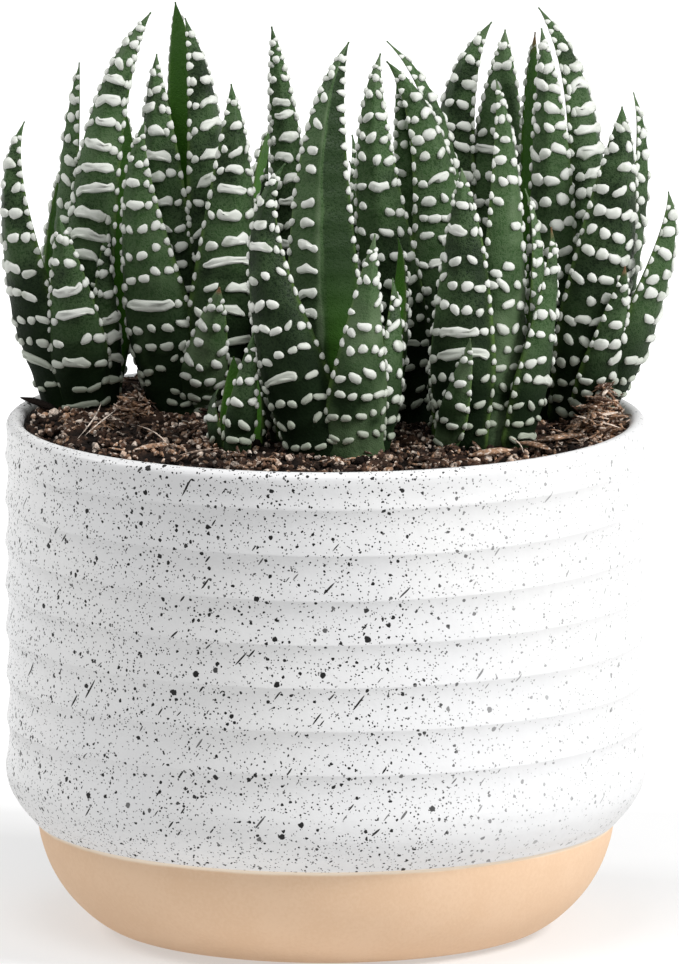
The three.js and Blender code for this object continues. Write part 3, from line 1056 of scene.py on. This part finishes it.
class LeafForm:
    """A leaf's surface as a function of how far along it and how far round its back a place is."""

    def __init__(
        self, leaf: Leaf, centre: tuple[float, float], crown: float, level: float, rng: Rng
    ) -> None:
        """Work out the leaf's middle line and the heights of its rows of marks.

        Args:
            leaf: The leaf.
            centre: The middle of its rosette.
            crown: The radius of the rosette's crown.
            level: The soil's level there.
            rng: The source of small differences.
        """
        self.leaf = leaf
        self.keel = SHAPE.sharp_keel if leaf.habit is Habit.SPARSE else SHAPE.keel
        a = math.radians(leaf.bearing)
        self.out = np.array([math.cos(a), math.sin(a), 0.0])
        across = np.array([-math.sin(a), math.cos(a), 0.0])
        reach = crown - SHAPE.base_inset - SHAPE.base_share * SHAPE.depth * 0.5 * leaf.width
        base = np.array([*centre, level + SHAPE.start]) + self.out * reach * leaf.share
        tip = np.array(leaf.tip)
        bulge = self.out * leaf.bow
        lean = across * leaf.side
        low = base + (tip - base) * 0.35 + bulge * SHAPE.bow_low + lean * SHAPE.bow_low
        high = base + (tip - base) * 0.8 + bulge * SHAPE.bow_high + lean * SHAPE.bow_high
        self.line = np.stack([base, low, high, tip])
        t = np.linspace(0, 1, 200)
        self.widest = float(self.taper(t).max())
        self.length = float(np.linalg.norm(np.diff(self.middle(t), axis=0), axis=1).sum())
        self.rows = self.mark_rows(rng)

    def taper(self, t: Array) -> Array:
        """Give the width's shape: 1 - t^fullness, times a rise from the base over 0.3 of the length."""
        s = SHAPE.base_share
        return (1 - np.clip(t, 0, 1) ** self.leaf.fullness) * (s + (1 - s) * smooth(t / 0.3))

    def middle(self, t: Array) -> Array:
        """Give the middle line.

        Args:
            t: How far along the leaf.

        Returns:
            Places on the cubic Bezier curve of the four control points.
        """
        t = t[..., None]
        base, low, high, tip = self.line
        return (1 - t) ** 3 * base + 3 * t * (1 - t) ** 2 * low + 3 * t**2 * (1 - t) * high + t**3 * tip

    def heading(self, t: Array) -> Array:
        """Give the middle line's direction.

        Args:
            t: How far along the leaf.

        Returns:
            The curve's first derivative, divided by its length.
        """
        t = t[..., None]
        base, low, high, tip = self.line
        return unit((1 - t) ** 2 * (low - base) + 2 * t * (1 - t) * (high - low) + t**2 * (tip - high))

    def mark_rows(self, rng: Rng) -> Array:
        """Place the rows of marks.

        Args:
            rng: The source of uneven gaps.

        Returns:
            How far along each row is, from the tip down: closer together towards the base.
        """
        gap = rng.uniform(0.92, 1.08) * (0.82 + 0.018 * self.leaf.width)
        down, rows = rng.uniform(4.2, 6.0), []
        while down < self.length * 0.985:
            rows.append(1 - down / self.length)
            down += gap * (4.4 - 1.3 * down / self.length) * rng.uniform(0.88, 1.12)
        return np.array(rows)

    def swell(self, t: Array) -> Array:
        """Give the low swelling of the skin under each row of marks: the sum of bells exp(-x^2)."""
        away = (t[..., None] - self.rows) * self.length / SHAPE.bell
        return SHAPE.swelling * np.exp(-(away**2)).sum(-1)

    def half(self, t: Array) -> Array:
        """Give half the width."""
        return np.maximum(SHAPE.least_half, 0.5 * self.leaf.width * self.taper(t) / self.widest)

    def depth(self, t: Array, half: Array) -> Array:
        """Give the depth at the keel, a share of half the width that grows towards the tip."""
        return np.maximum(SHAPE.least_depth, half * (SHAPE.depth + SHAPE.tip_depth * t))

    def axes(self, t: Array) -> tuple[Array, Array]:
        """Give the directions across the leaf.

        Args:
            t: How far along the leaf.

        Returns:
            The directions to one edge, and out of the back.
        """
        along = self.heading(t)
        back = unit(self.out - along * (along @ self.out)[..., None])
        return np.cross(along, back), back

    def back(self, t: Array, a: Array) -> Array:
        """Give places on the outer face.

        Args:
            t: How far along the leaf, 0 at the crown and 1 at the tip.
            a: How far round, from -pi/2 at one edge over 0 at the keel to pi/2 at the other.

        Returns:
            The middle line plus sin(a) half widths sideways, plus the depth times a dome. The
            dome is (1 - |s|^2.4)^0.62 with s = sin(a), mixed near the tip with the roof 1 - |s|,
            which makes the keel.
        """
        s = np.sin(a)
        edge, back = self.axes(t)
        half = self.half(t)
        keel = self.keel[0] * smooth((t - self.keel[1]) / SHAPE.keel_rise)
        dome = np.maximum(1 - np.abs(s) ** SHAPE.dome_flat, 0) ** SHAPE.dome_round
        dome = (1 - keel) * dome + keel * (1 - np.abs(s))
        lift = self.depth(t, half) * dome + self.swell(t) * np.cos(a) ** 0.7 * smooth(half / 2)
        return self.middle(t) + edge * (half * s)[..., None] + back * lift[..., None]

    def face(self, t: Array, s: Array) -> Array:
        """Give places on the inner face.

        Args:
            t: How far along the leaf.
            s: How far across, from -1 at one edge to 1 at the other.

        Returns:
            The middle line plus s half widths sideways, and a share 0.12(1 - s^2) less
            0.1 sqrt(1 - s^2) of the depth towards the back, which rounds it off by its edges.
        """
        edge, back = self.axes(t)
        half = self.half(t)
        hollow = SHAPE.channel * (1 - s**2) - SHAPE.rounding * np.sqrt(np.maximum(1 - s**2, 0))
        hollow = self.depth(t, half) * hollow
        return self.middle(t) + edge * (half * s)[..., None] + back * hollow[..., None]

    def normal(self, t: Array, a: Array) -> tuple[Array, Array, Array]:
        """Give the outer face's normal and its stretch.

        Args:
            t: How far along the leaf.
            a: How far round.

        Returns:
            The normal, by central differences, and millimetres for each unit of t and of a.
        """
        dt, da = 0.004, 0.03
        by_t = (self.back(t + dt, a) - self.back(t - dt, a)) / (2 * dt)
        by_a = (self.back(t, a + da) - self.back(t, a - da)) / (2 * da)
        n = unit(np.cross(by_a, by_t))
        facing = np.sign(np.einsum("...i,...i->...", n, self.axes(t)[1]))
        return n * facing[..., None], np.linalg.norm(by_t, axis=-1), np.linalg.norm(by_a, axis=-1)

    def shell(self, tone: float) -> Shell:
        """Skin the leaf.

        Args:
            tone: How light the leaf is, 0 for the usual.

        Returns:
            Rings round the back and across the face, closer together at the tip, closed on the
            tip and, below the soil, on the base.
        """
        near_tip = 1 - 0.1 * (1 - np.linspace(0, 0.985, SHAPE.tip_rings)) ** 1.2
        steps = int(self.length / SHAPE.ring_gap)
        t = np.concatenate([np.linspace(0, 0.9, steps, endpoint=False), near_tip])
        a = np.linspace(math.pi / 2, -math.pi / 2, SHAPE.back_points)
        s = np.linspace(-1, 1, SHAPE.face_points + 2)[1:-1]
        tt, aa = np.meshgrid(t, a, indexing="ij")
        ts, ss = np.meshgrid(t, s, indexing="ij")
        rings = np.concatenate([self.back(tt, aa), self.face(ts, ss)], 1)
        sunk = rings[:1] * 0.8 + rings[:1].mean(1, keepdims=True) * 0.2
        sunk[..., 2] -= SHAPE.sunk
        rings = np.concatenate([sunk, rings])[None]
        along = np.concatenate([[0.0], t])[:, None]
        return closed_rings(rings, sunk.mean(1), self.line[-1:], self.colouring(along, a, s, tone))

    def colouring(self, along: Array, a: Array, s: Array, tone: float) -> dict[str, Array]:
        """Give the values that the skin's finish reads.

        Args:
            along: How far along the leaf each ring is, as a column.
            a: How far round the back each of its points is.
            s: How far across the face each of its points is.
            tone: How light the leaf is.

        Returns:
            Values named along, inner, edge, tone and dry at each point. The tone rises over each leaf's
            top fifth, paler tips with painted light on them. A sparse leaf has a painted highlight along
            its keel and painted shade on one flank, which is fresh green low down.
        """
        inner = np.concatenate([np.zeros(len(a)), np.ones(len(s))]) + 0 * along
        edge = np.concatenate([smooth((np.abs(np.sin(a)) - 0.9) / 0.1), smooth((np.abs(s) - 0.6) / 0.4)])
        # Each leaf is lighter over its top fifth: paler tips, with painted light where the tips catch the
        # lamps.
        tones = tone + 1.6 * smooth((along - 0.8) / 0.2) + 0 * inner
        if self.leaf.habit is Habit.SPARSE:
            # On a sparse leaf: a painted highlight along the keel, and painted shade on one flank, which is
            # fresh green low down.
            flank = smooth((np.sin(a) - 0.04) / 0.12)
            tones[:, : len(a)] += 2.2 * np.exp(-((np.sin(a) / 0.09) ** 2)) - 2.9 * flank
            inner[:, : len(a)] += flank * (0.08 + 0.42 * smooth((0.44 - along) / 0.3))
        tips = self.leaf.dry * smooth((along - 0.9) / 0.08)
        values = {"along": along, "inner": inner, "edge": edge, "tone": tones, "dry": tips}
        return {k: np.broadcast_to(v, tones.shape)[None] for k, v in values.items()}


class Mark(NamedTuple):
    """One raised white mark, in millimetres apart from its place and lean.

    t is how far along the leaf it is and a how far round, long half its length across the leaf,
    tall half its height, high how far it stands out, arch how far its middle lies above its ends,
    and lean how far it climbs for each millimetre across.
    """

    t: float
    a: float
    long: float
    tall: float
    high: float
    arch: float = 0.0
    lean: float = 0.0


def raised(marks: Sequence[Mark], form: LeafForm, around: int, rng: Rng) -> Shell:
    """Raise marks from a leaf.

    Args:
        marks: The marks.
        form: The leaf.
        around: How many points go round each mark.
        rng: The source of their unevenness.

    Returns:
        Flattened domes that follow the skin: at angle q round a mark and p down from its crown a
        point lies sin(p) cos(q) half heights across, sin(p) sin(q) half heights along and
        cos(p)^0.8 high, with an outline that wavers. A long mark is pulled out sideways by
        tanh(3 cos(q)) of what its length has over its height.
    """
    t, a, long, tall, high, arch, lean = np.array(marks).T[..., None, None]
    q = (np.arange(around) / around * TAU)[None, None]
    p = np.array([0.42, 0.88, 1.4, 2.2])[None, :, None]
    phase = rng.uniform(0, TAU, (len(marks), 1, 1))
    waver = 1 + 0.09 * np.sin(3 * q + phase) + 0.06 * np.sin(2 * q + 2.3 * phase)
    core = np.minimum(long, tall)
    x = core * np.sin(p) * np.cos(q) * waver + (long - core) * np.tanh(3 * np.cos(q)) / math.tanh(3)
    y = tall * np.sin(p) * np.sin(q) * waver
    lumpy = np.clip(long - 1, 0, 1)
    y = y * (1 + 0.24 * np.sin(x * 1.9 + 2 * phase) * lumpy)
    y = y + 0.2 * tall * np.sin(x * 2.4 + phase) * lumpy
    y = y + lean * x + arch * (1 - (x / long) ** 2)
    crown = np.maximum(np.cos(p), 0) ** 0.8
    z = high * np.where(np.cos(p) > 0, crown, 0.6 * np.cos(p)) * np.ones_like(q)
    _, per_t, per_a = form.normal(t, a)
    tt = t + y / per_t
    aa = np.clip(a + x / per_a, -1.42, 1.42)
    n, _, _ = form.normal(tt, aa)
    rings = form.back(tt, aa) + n * z[..., None]
    t0, a0 = (t + arch / per_t)[:, 0, 0], a[:, 0, 0]
    n0, _, _ = form.normal(t0, a0)
    middle = form.back(t0, a0)
    stand = n0 * high[:, 0, 0, None]
    along = np.broadcast_to(t, (len(marks), p.size, around))
    return closed_rings(rings, middle + stand, middle - stand * 0.6, {"along": along})


@dataclass(frozen=True)
class MarkPattern:
    """What decides how marks are laid out, in millimetres where no share is named.

    reach is how far round from the keel the marks of a row go, half_widths times half the width.
    A row of less than one_mark reach has one mark, and of less than two_marks reach two. On a
    mixed leaf bar_rows is the share of rows with bars. A row of dots has one for each dot_pitch,
    and kept is the share of them that grow. A mark over bar_from half lengths is a bar. Beads
    line the edges, at bead_angle round and bead_gap apart.
    """

    half_widths: float = 1.28
    one_mark: float = 1.5
    two_marks: float = 2.5
    bar_rows: float = 0.3
    bar_from: float = 1.35
    room_for_dot: float = 0.28
    dot_pitch: float = 2.9
    kept: float = 0.93
    bead_angle: float = 1.36
    bead_gap: tuple[float, float] = (1.9, 3.3)


PATTERN = MarkPattern()


class LeafMarks:
    """Lays out the raised white marks of one leaf."""

    def __init__(self, form: LeafForm, size: float, rng: Rng) -> None:
        """Start without marks.

        Args:
            form: The leaf.
            size: The marks' size against the usual.
            rng: The source of small differences.
        """
        self.form = form
        self.size = size
        self.rng = rng
        self.dots: list[Mark] = []
        self.bars: list[Mark] = []

    def place(self, t: float, at: float, long: float, tall: float, lean: float) -> None:
        """Put one mark in its list, at a distance in millimetres round from the keel.

        Args:
            t: How far along the leaf.
            at: Its distance from the keel.
            long: Half its length across the leaf.
            tall: Half its height.
            lean: How far it climbs for each millimetre across.
        """
        r = self.rng
        per_a = max(float(self.form.half(np.array(t))) * 1.05, 0.4)
        a = float(np.clip(at / per_a, -1.25, 1.25))
        high = 0.3 + 0.22 * tall + 0.05 * r.uniform()
        long, tall = long * self.size, tall * self.size
        if long > PATTERN.bar_from * self.size:
            self.bars.append(Mark(t, a, long, tall, high, r.uniform(-0.05, 0.65) * long * 0.4, lean))
        else:
            self.dots.append(Mark(t, a, long, tall, high, 0.0, r.normal(0, 0.25)))

    def row(self, number: int, t: float) -> None:
        """Lay one row of marks across the back, which leans and sags a little.

        Args:
            number: The row's count from the tip.
            t: How far along the leaf it is.
        """
        r = self.rng
        reach = float(self.form.half(np.array(t))) * PATTERN.half_widths
        habit = self.form.leaf.habit
        if habit is Habit.MIXED:
            habit = Habit.BARS if r.uniform() < PATTERN.bar_rows else Habit.DOTS
        low = 1 - 0.25 * smooth((0.35 - t) / 0.35)
        tall = r.uniform(0.72, 0.96) * low
        lean, sag = r.normal(0, 0.12), r.uniform(-0.3, 0.9)

        def put(share: float, long: float, high: float = 1.0) -> None:
            """Add a mark at a share of the reach round from the keel."""
            up = lean * share * reach - sag * share**2 + r.normal(0, 0.25)
            self.place(t + up / self.form.length, share * reach + r.normal(0, 0.15), long, tall * high, lean)

        if reach < PATTERN.one_mark:
            put(0.0, r.uniform(0.55, 0.8), 0.85)
        elif reach < PATTERN.two_marks:
            if habit is Habit.BARS and r.uniform() < 0.5:
                put(r.uniform(-0.1, 0.1), reach * r.uniform(0.42, 0.6))
            elif habit is Habit.SPARSE:
                put(-0.3, r.uniform(0.75, 0.95))
            else:
                for side in (-0.42, 0.42):
                    put(side, r.uniform(0.65, 0.95), r.uniform(0.8, 1.0))
        elif habit is Habit.BARS:
            wide = r.uniform(0.3, 0.68)
            middle = r.uniform(-0.2, 0.2)
            put(middle, reach * wide)
            for side in (-1, 1):
                room = 1 - (wide + side * middle)
                if room > PATTERN.room_for_dot:
                    put(side * (1 - room / 2 - 0.02), min(reach * room * 0.32, 1.3), r.uniform(0.8, 1.0))
        elif habit is Habit.SPARSE:
            put(-0.34, reach * r.uniform(0.2, 0.32))
        else:
            count = int(np.clip(round(reach * 2 / PATTERN.dot_pitch), 2, 5))
            spots = (np.arange(count) + 0.5 + 0.18 * (-1) ** number) / count * 2 - 1
            for spot in spots * 0.92:
                if r.uniform() < PATTERN.kept:
                    put(float(spot), r.uniform(0.72, 1.34), r.uniform(0.82, 1.1))

    def edges(self) -> None:
        """Line both edges with small beads, longer along the leaf than across."""
        r = self.rng
        for side in (-PATTERN.bead_angle, PATTERN.bead_angle):
            down = r.uniform(3.5, 5.0)
            while down < self.form.length * 0.97:
                t = 1 - down / self.form.length
                grown = smooth(down / 14)
                long = 0.45 + 0.25 * grown * r.uniform()
                tall = 0.4 + 0.5 * grown * r.uniform(0.5, 1)
                self.dots.append(Mark(t, side, long, tall, 0.28 + 0.18 * grown))
                down += r.uniform(*PATTERN.bead_gap)

    def shells(self) -> list[Shell]:
        """Lay all the marks out and raise them.

        Returns:
            The dots and, where there are any, the bars.
        """
        for number, t in enumerate(self.form.rows):
            self.row(number, float(t))
        self.edges()
        made = [raised(self.dots, self.form, DOT_POINTS, self.rng)]
        if self.bars:
            made.append(raised(self.bars, self.form, BAR_POINTS, self.rng))
        return made


@dataclass
class Rosette:
    """A rosette: leaves about a crown, each with its raised white marks."""

    name: str
    centre: tuple[float, float]
    crown: float
    leaves: tuple[Leaf, ...]
    seed: int
    mark_size: float = 1.0

    def dress(self, skin: Material, white: Material, soil: Soil) -> None:
        """Put the rosette in the scene in place of its plain solid.

        Args:
            skin: The leaves' finish.
            white: The marks' finish.
            soil: The soil that it stands in.
        """
        rng = np.random.default_rng(self.seed)
        level = float(soil.level_at(*self.centre))
        skins: list[Shell] = []
        whites: list[Shell] = []
        for leaf in self.leaves:
            form = LeafForm(leaf, self.centre, self.crown, level, rng)
            skins.append(form.shell(float(rng.uniform(-1, 0.6)) + leaf.pale))
            whites.extend(LeafMarks(form, self.mark_size, rng).shells())
        leaves = Shell.joined(skins).piece(f"{self.name}_leaves", [skin])
        marks = Shell.joined(whites).piece(f"{self.name}_tubercles", [white])
        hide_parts(self.name)
        for piece in (leaves, marks):
            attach(piece, BODY)


DOTS, BARS, MIXED, SPARSE = Habit

# Each leaf: bearing, share, tip, width, fullness, bow, side, habit, dry, pale
ROSETTES = (
    Rosette("rosette_far_left", (-42.1, 12), 8.2, (
        Leaf(222, 1.0, (-52.5, 7, 141), 11.5, 1.6, 4.8, 0, MIXED),
        Leaf(272, 1.0, (-46.5, -1, 125.5), 10.5, 1.3, 1, 0, MIXED),
        Leaf(190, 0.6, (-43, 16, 150), 10, 2.4, 0, 0, DOTS),
        Leaf(246, 0.4, (-30.5, 12, 159.5), 9.5, 2.8, 4, -3, BARS),
        Leaf(305, 1.0, (-38.2, 6, 122), 6.5, 1.6, 0, -0.5, BARS),
        Leaf(140, 1.0, (-44.5, 25, 133.5), 9, 1.7, 2, 0, MIXED),
        Leaf(60, 1.0, (-35.5, 25, 141), 9.5, 1.8, 2, 0, MIXED),
    ), 101, 1.08),
    Rosette("rosette_left", (-22, 11.5), 10.2, (
        Leaf(240, 1.0, (-31.5, 1, 142), 14, 1.15, 1, -2.5, MIXED),
        Leaf(60, 0.3, (-26.3, 14, 161), 11.5, 2.6, 1, 0, BARS),
        Leaf(290, 1.0, (-16.5, 2, 148.5), 13, 1.6, 3, 0, BARS),
        Leaf(266, 1.0, (-18.5, -6, 114), 8.5, 1.6, 0, 0, DOTS, 1.0, 2.0),
        Leaf(240, 0.5, (-29.5, 10, 152.5), 11, 2.4, 2, 0, BARS),
        Leaf(180, 0.9, (-28, 17, 145), 9, 2, 3, 0, MIXED),
        Leaf(110, 1.0, (-29, 28, 133), 10, 1.8, 3, 0, MIXED),
        Leaf(65, 1.0, (-19, 27, 131), 10, 1.8, 3, 0, MIXED),
        Leaf(350, 0.9, (-13.5, 9, 129), 8, 1.6, 2, 0, DOTS),
        Leaf(308, 0.4, (-24.6, 12, 158.5), 11, 2.3, 3.5, 0, BARS),
    ), 102),
    Rosette("rosette_back", (-4, 21), 8, (
        Leaf(275, 0.8, (-9.5, 12, 157), 7.5, 2.6, 1, 0.5, BARS),
        Leaf(200, 0.7, (-10, 16, 133), 8, 1.8, 1, 0, MIXED),
        Leaf(150, 1.0, (-9, 34, 136.5), 9.5, 1.8, 3, 0, MIXED),
        Leaf(75, 1.0, (-1, 36, 134), 10, 1.8, 4, 0, MIXED),
        Leaf(325, 0.9, (4.5, 20, 136.5), 8.5, 1.8, 2, 0, MIXED),
        Leaf(15, 0.9, (4, 25, 131), 8, 1.6, 2, 0, MIXED),
        Leaf(250, 0.3, (-4.5, 20, 126), 7, 1.6, 1, 0, DOTS),
    ), 103),
    Rosette("rosette_front", (1.5, -21.5), 11.4, (
        Leaf(250, 1.0, (-7, -25, 139), 12.5, 1.05, 3, -4.5, MIXED, 0.0, -0.4),
        Leaf(262, 0.5, (4, -14, 158.5), 13.5, 1.9, 3, -3.3, SPARSE, 0.0, 0.6),
        Leaf(290, 1.0, (8.5, -33, 128), 12.5, 0.75, 1, -0.6, DOTS, 0.0, 2.1),
        Leaf(330, 0.9, (11.5, -20, 118), 8, 1.5, 1, 0, DOTS),
        Leaf(30, 0.9, (12.5, -14, 124), 8, 1.6, 1.5, 0, DOTS),
        Leaf(100, 0.9, (3, -2, 137.5), 9, 1.7, 2.5, 0, MIXED),
        Leaf(165, 1.0, (-9, -12, 127), 8.5, 1.6, 2, 0, MIXED),
        Leaf(210, 0.3, (0, -22, 124), 7.5, 1.6, 1, 0, MIXED),
    ), 104),
    Rosette("rosette_middle", (15.5, 6), 8.8, (
        Leaf(268, 1.0, (9.5, -3, 154.7), 11, 1.8, 3, -2.6, MIXED),
        Leaf(308, 0.9, (10.5, 2, 152.5), 12.5, 2.2, 4, 4, MIXED),
        Leaf(345, 0.8, (10.5, 8, 155), 10, 2.2, 7, 0, DOTS),
        Leaf(70, 0.8, (16, 16, 131), 8, 1.7, 0.5, 0, MIXED),
        Leaf(130, 0.9, (11.5, 16, 135), 8.5, 1.7, 1.5, 0, MIXED),
        Leaf(205, 0.9, (8.2, 3, 128), 7.5, 1.5, 1.5, 0, BARS),
        Leaf(300, 0.3, (12.3, 4, 148.5), 7.5, 2.4, 1, 0, DOTS),
    ), 105),
    Rosette("rosette_front_right", (26, -14), 10.6, (
        Leaf(250, 0.9, (23.5, -18, 137), 12, 1.9, 2, 1.2, MIXED),
        Leaf(305, 0.7, (29.5, -11, 151.5), 10, 1.7, 1.5, 1, DOTS, 0.0, 1.4),
        Leaf(325, 1.0, (39, -17, 126.5), 9, 1.1, 1, 1, MIXED, 0.9),
        Leaf(350, 0.9, (34.5, -7, 131.5), 7.5, 1.7, 2, 0, DOTS),
        Leaf(236, 1.0, (25, -29, 109), 6, 1.3, -0.5, 0, DOTS, 0.0, 2.0),
        Leaf(60, 1.0, (30.5, 2, 125.5), 8.5, 1.6, 2, 0, MIXED),
        Leaf(140, 0.8, (22.5, -7, 122), 8, 1.6, 0.5, 0, MIXED),
        Leaf(20, 0.3, (27, -13, 121), 7, 1.6, 1, 0, DOTS),
    ), 106),
    Rosette("rosette_back_right", (28, 28), 9.2, (
        Leaf(235, 0.9, (29, 20, 156.5), 11.5, 2.6, 5, -3, DOTS),
        Leaf(268, 0.8, (31.3, 18, 155.5), 13, 2.2, 2, 0, MIXED),
        Leaf(160, 1.0, (22.5, 34, 131), 9, 1.8, 3, 0, MIXED),
        Leaf(90, 1.0, (29, 41, 132), 10, 1.8, 4, 0, MIXED),
        Leaf(30, 1.0, (35.5, 34, 134.5), 9, 1.8, 3, 0, MIXED),
        Leaf(330, 0.3, (29, 27, 127), 7, 1.6, 1, 0, DOTS),
    ), 107, 1.18),
    Rosette("rosette_right", (41, 8.5), 9.6, (
        Leaf(255, 0.6, (37.5, 4, 158), 9, 2.6, 2, 1.5, DOTS),
        Leaf(320, 0.7, (37, 11, 160.5), 11, 2.4, 5.5, 2, BARS),
        Leaf(130, 0.5, (36.5, 12, 156), 8, 2.4, 1.5, 0, SPARSE, 0.8),
        Leaf(290, 0.9, (51.5, -1, 145), 12.5, 2.4, 3, 0, DOTS),
        Leaf(350, 0.8, (53.5, 8, 146), 9, 2.2, 2.5, 0, DOTS),
        Leaf(330, 1.0, (59.5, -4, 130.5), 11.5, 1.9, 2, 1, DOTS),
        Leaf(305, 1.0, (52, -8, 118), 9, 1.4, 0, 0.6, DOTS, 1.0),
        Leaf(50, 1.0, (47.5, 20, 131), 10, 1.8, 3, 0, MIXED),
        Leaf(95, 1.0, (40.5, 20, 138.5), 9, 1.8, 1.5, 0, MIXED),
        Leaf(275, 0.3, (43, 6, 136), 8, 1.7, 1, 0, MIXED),
    ), 108, 1.18),
    Rosette("offset_front_left", (-15, -25.5), 4.6, (
        Leaf(262, 1.0, (-12.5, -29, 110), 5.5, 1.2, 0.3, 0, DOTS),
        Leaf(20, 1.0, (-12, -22, 101), 5, 1.2, 0.3, 0, DOTS),
        Leaf(100, 1.0, (-16, -19, 104), 5.5, 1.3, 0.5, 0, DOTS),
        Leaf(190, 1.0, (-18.5, -23, 99), 5.5, 1.2, 1, 0, DOTS),
    ), 109),
)


@dataclass
class Studio:
    """The camera, the pale floor and the soft light.

    target and distance are millimetres, elevation is degrees, and the floor's reach and drop and
    the place that the lamps face are metres.
    """

    target: tuple[float, float, float] = (2.36, 0.0, 78.4)
    distance: float = 4000.0
    elevation: float = 10.4
    lens: float = 856.0
    floor_reach: float = 12.0
    floor_drop: float = 0.0002
    lit_place: tuple[float, float, float] = (0.0, 0.0, 0.08)
    sky: float = 0.36

    def camera(self) -> None:
        """Stand a long lens in front, a little above the pot."""
        e = math.radians(self.elevation)
        back = Vector((0.0, -math.cos(e), math.sin(e)))
        data = bpy.data.cameras.new("camera")
        data.lens = self.lens
        data.clip_end = 100.0
        camera = bpy.data.objects.new("camera", data)
        camera.location = (Vector(self.target) + back * self.distance) * MM
        camera.rotation_euler = (-back).to_track_quat("-Z", "Y").to_euler()
        bpy.context.scene.collection.objects.link(camera)
        bpy.context.scene.camera = camera

    def lamp(self, name: str, place: tuple[float, float, float], power: float, size: float) -> None:
        """Hang a square soft lamp that faces the plant.

        Args:
            name: Its name.
            place: Where it hangs, in metres.
            power: Its power in watts.
            size: The length of its side in metres.
        """
        data = bpy.data.lights.new(name, "AREA")
        data.energy = power
        data.size = size
        lamp = bpy.data.objects.new(name, data)
        lamp.location = place
        aim = Vector(self.lit_place) - Vector(place)
        lamp.rotation_euler = aim.to_track_quat("-Z", "Y").to_euler()
        bpy.context.scene.collection.objects.link(lamp)

    def build(self) -> None:
        """Set the stage."""
        self.camera()
        self.lamp("key_lamp", (0.95, -0.45, 0.85), 16.5, 0.4)
        self.lamp("left_lamp", (-0.9, 0.2, 0.8), 4.9, 0.4)
        self.lamp("top_lamp", (-0.15, -0.5, 1.15), 4.0, 0.5)
        world = bpy.data.worlds.new("studio_white")
        bpy.context.scene.world = world
        world.use_nodes = True
        g = Graph(world.node_tree)
        sky = g.add("ShaderNodeBackground", {"Color": (1.0, 1.0, 1.0, 1.0), "Strength": self.sky})
        g.add("ShaderNodeOutputWorld", {"Surface": sky.outputs[0]})
        bpy.context.scene.view_settings.view_transform = "Standard"
        w, z = self.floor_reach, -self.floor_drop
        corners = [(-w, -w, z), (w, -w, z), (w, w, z), (-w, w, z)]
        sheet = bpy.data.meshes.new("floor")
        sheet.from_pydata(corners, [], [(0, 1, 2, 3)])
        sheet.materials.append(FloorFinish().material())
        floor = bpy.data.objects.new("floor", sheet)
        bpy.context.scene.collection.objects.link(floor)


def main() -> None:
    """Load the frame, then build and dress each part of the plant."""
    logging.basicConfig(level=logging.INFO, format="%(name)s %(message)s")
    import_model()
    Studio().build()
    Pot().dress()
    soil = Soil()
    soil.dress()
    skin = LeafFinish().material()
    white = TubercleFinish().material()
    for rosette in ROSETTES:
        rosette.dress(skin, white, soil)


if __name__ == "__main__":
    main()
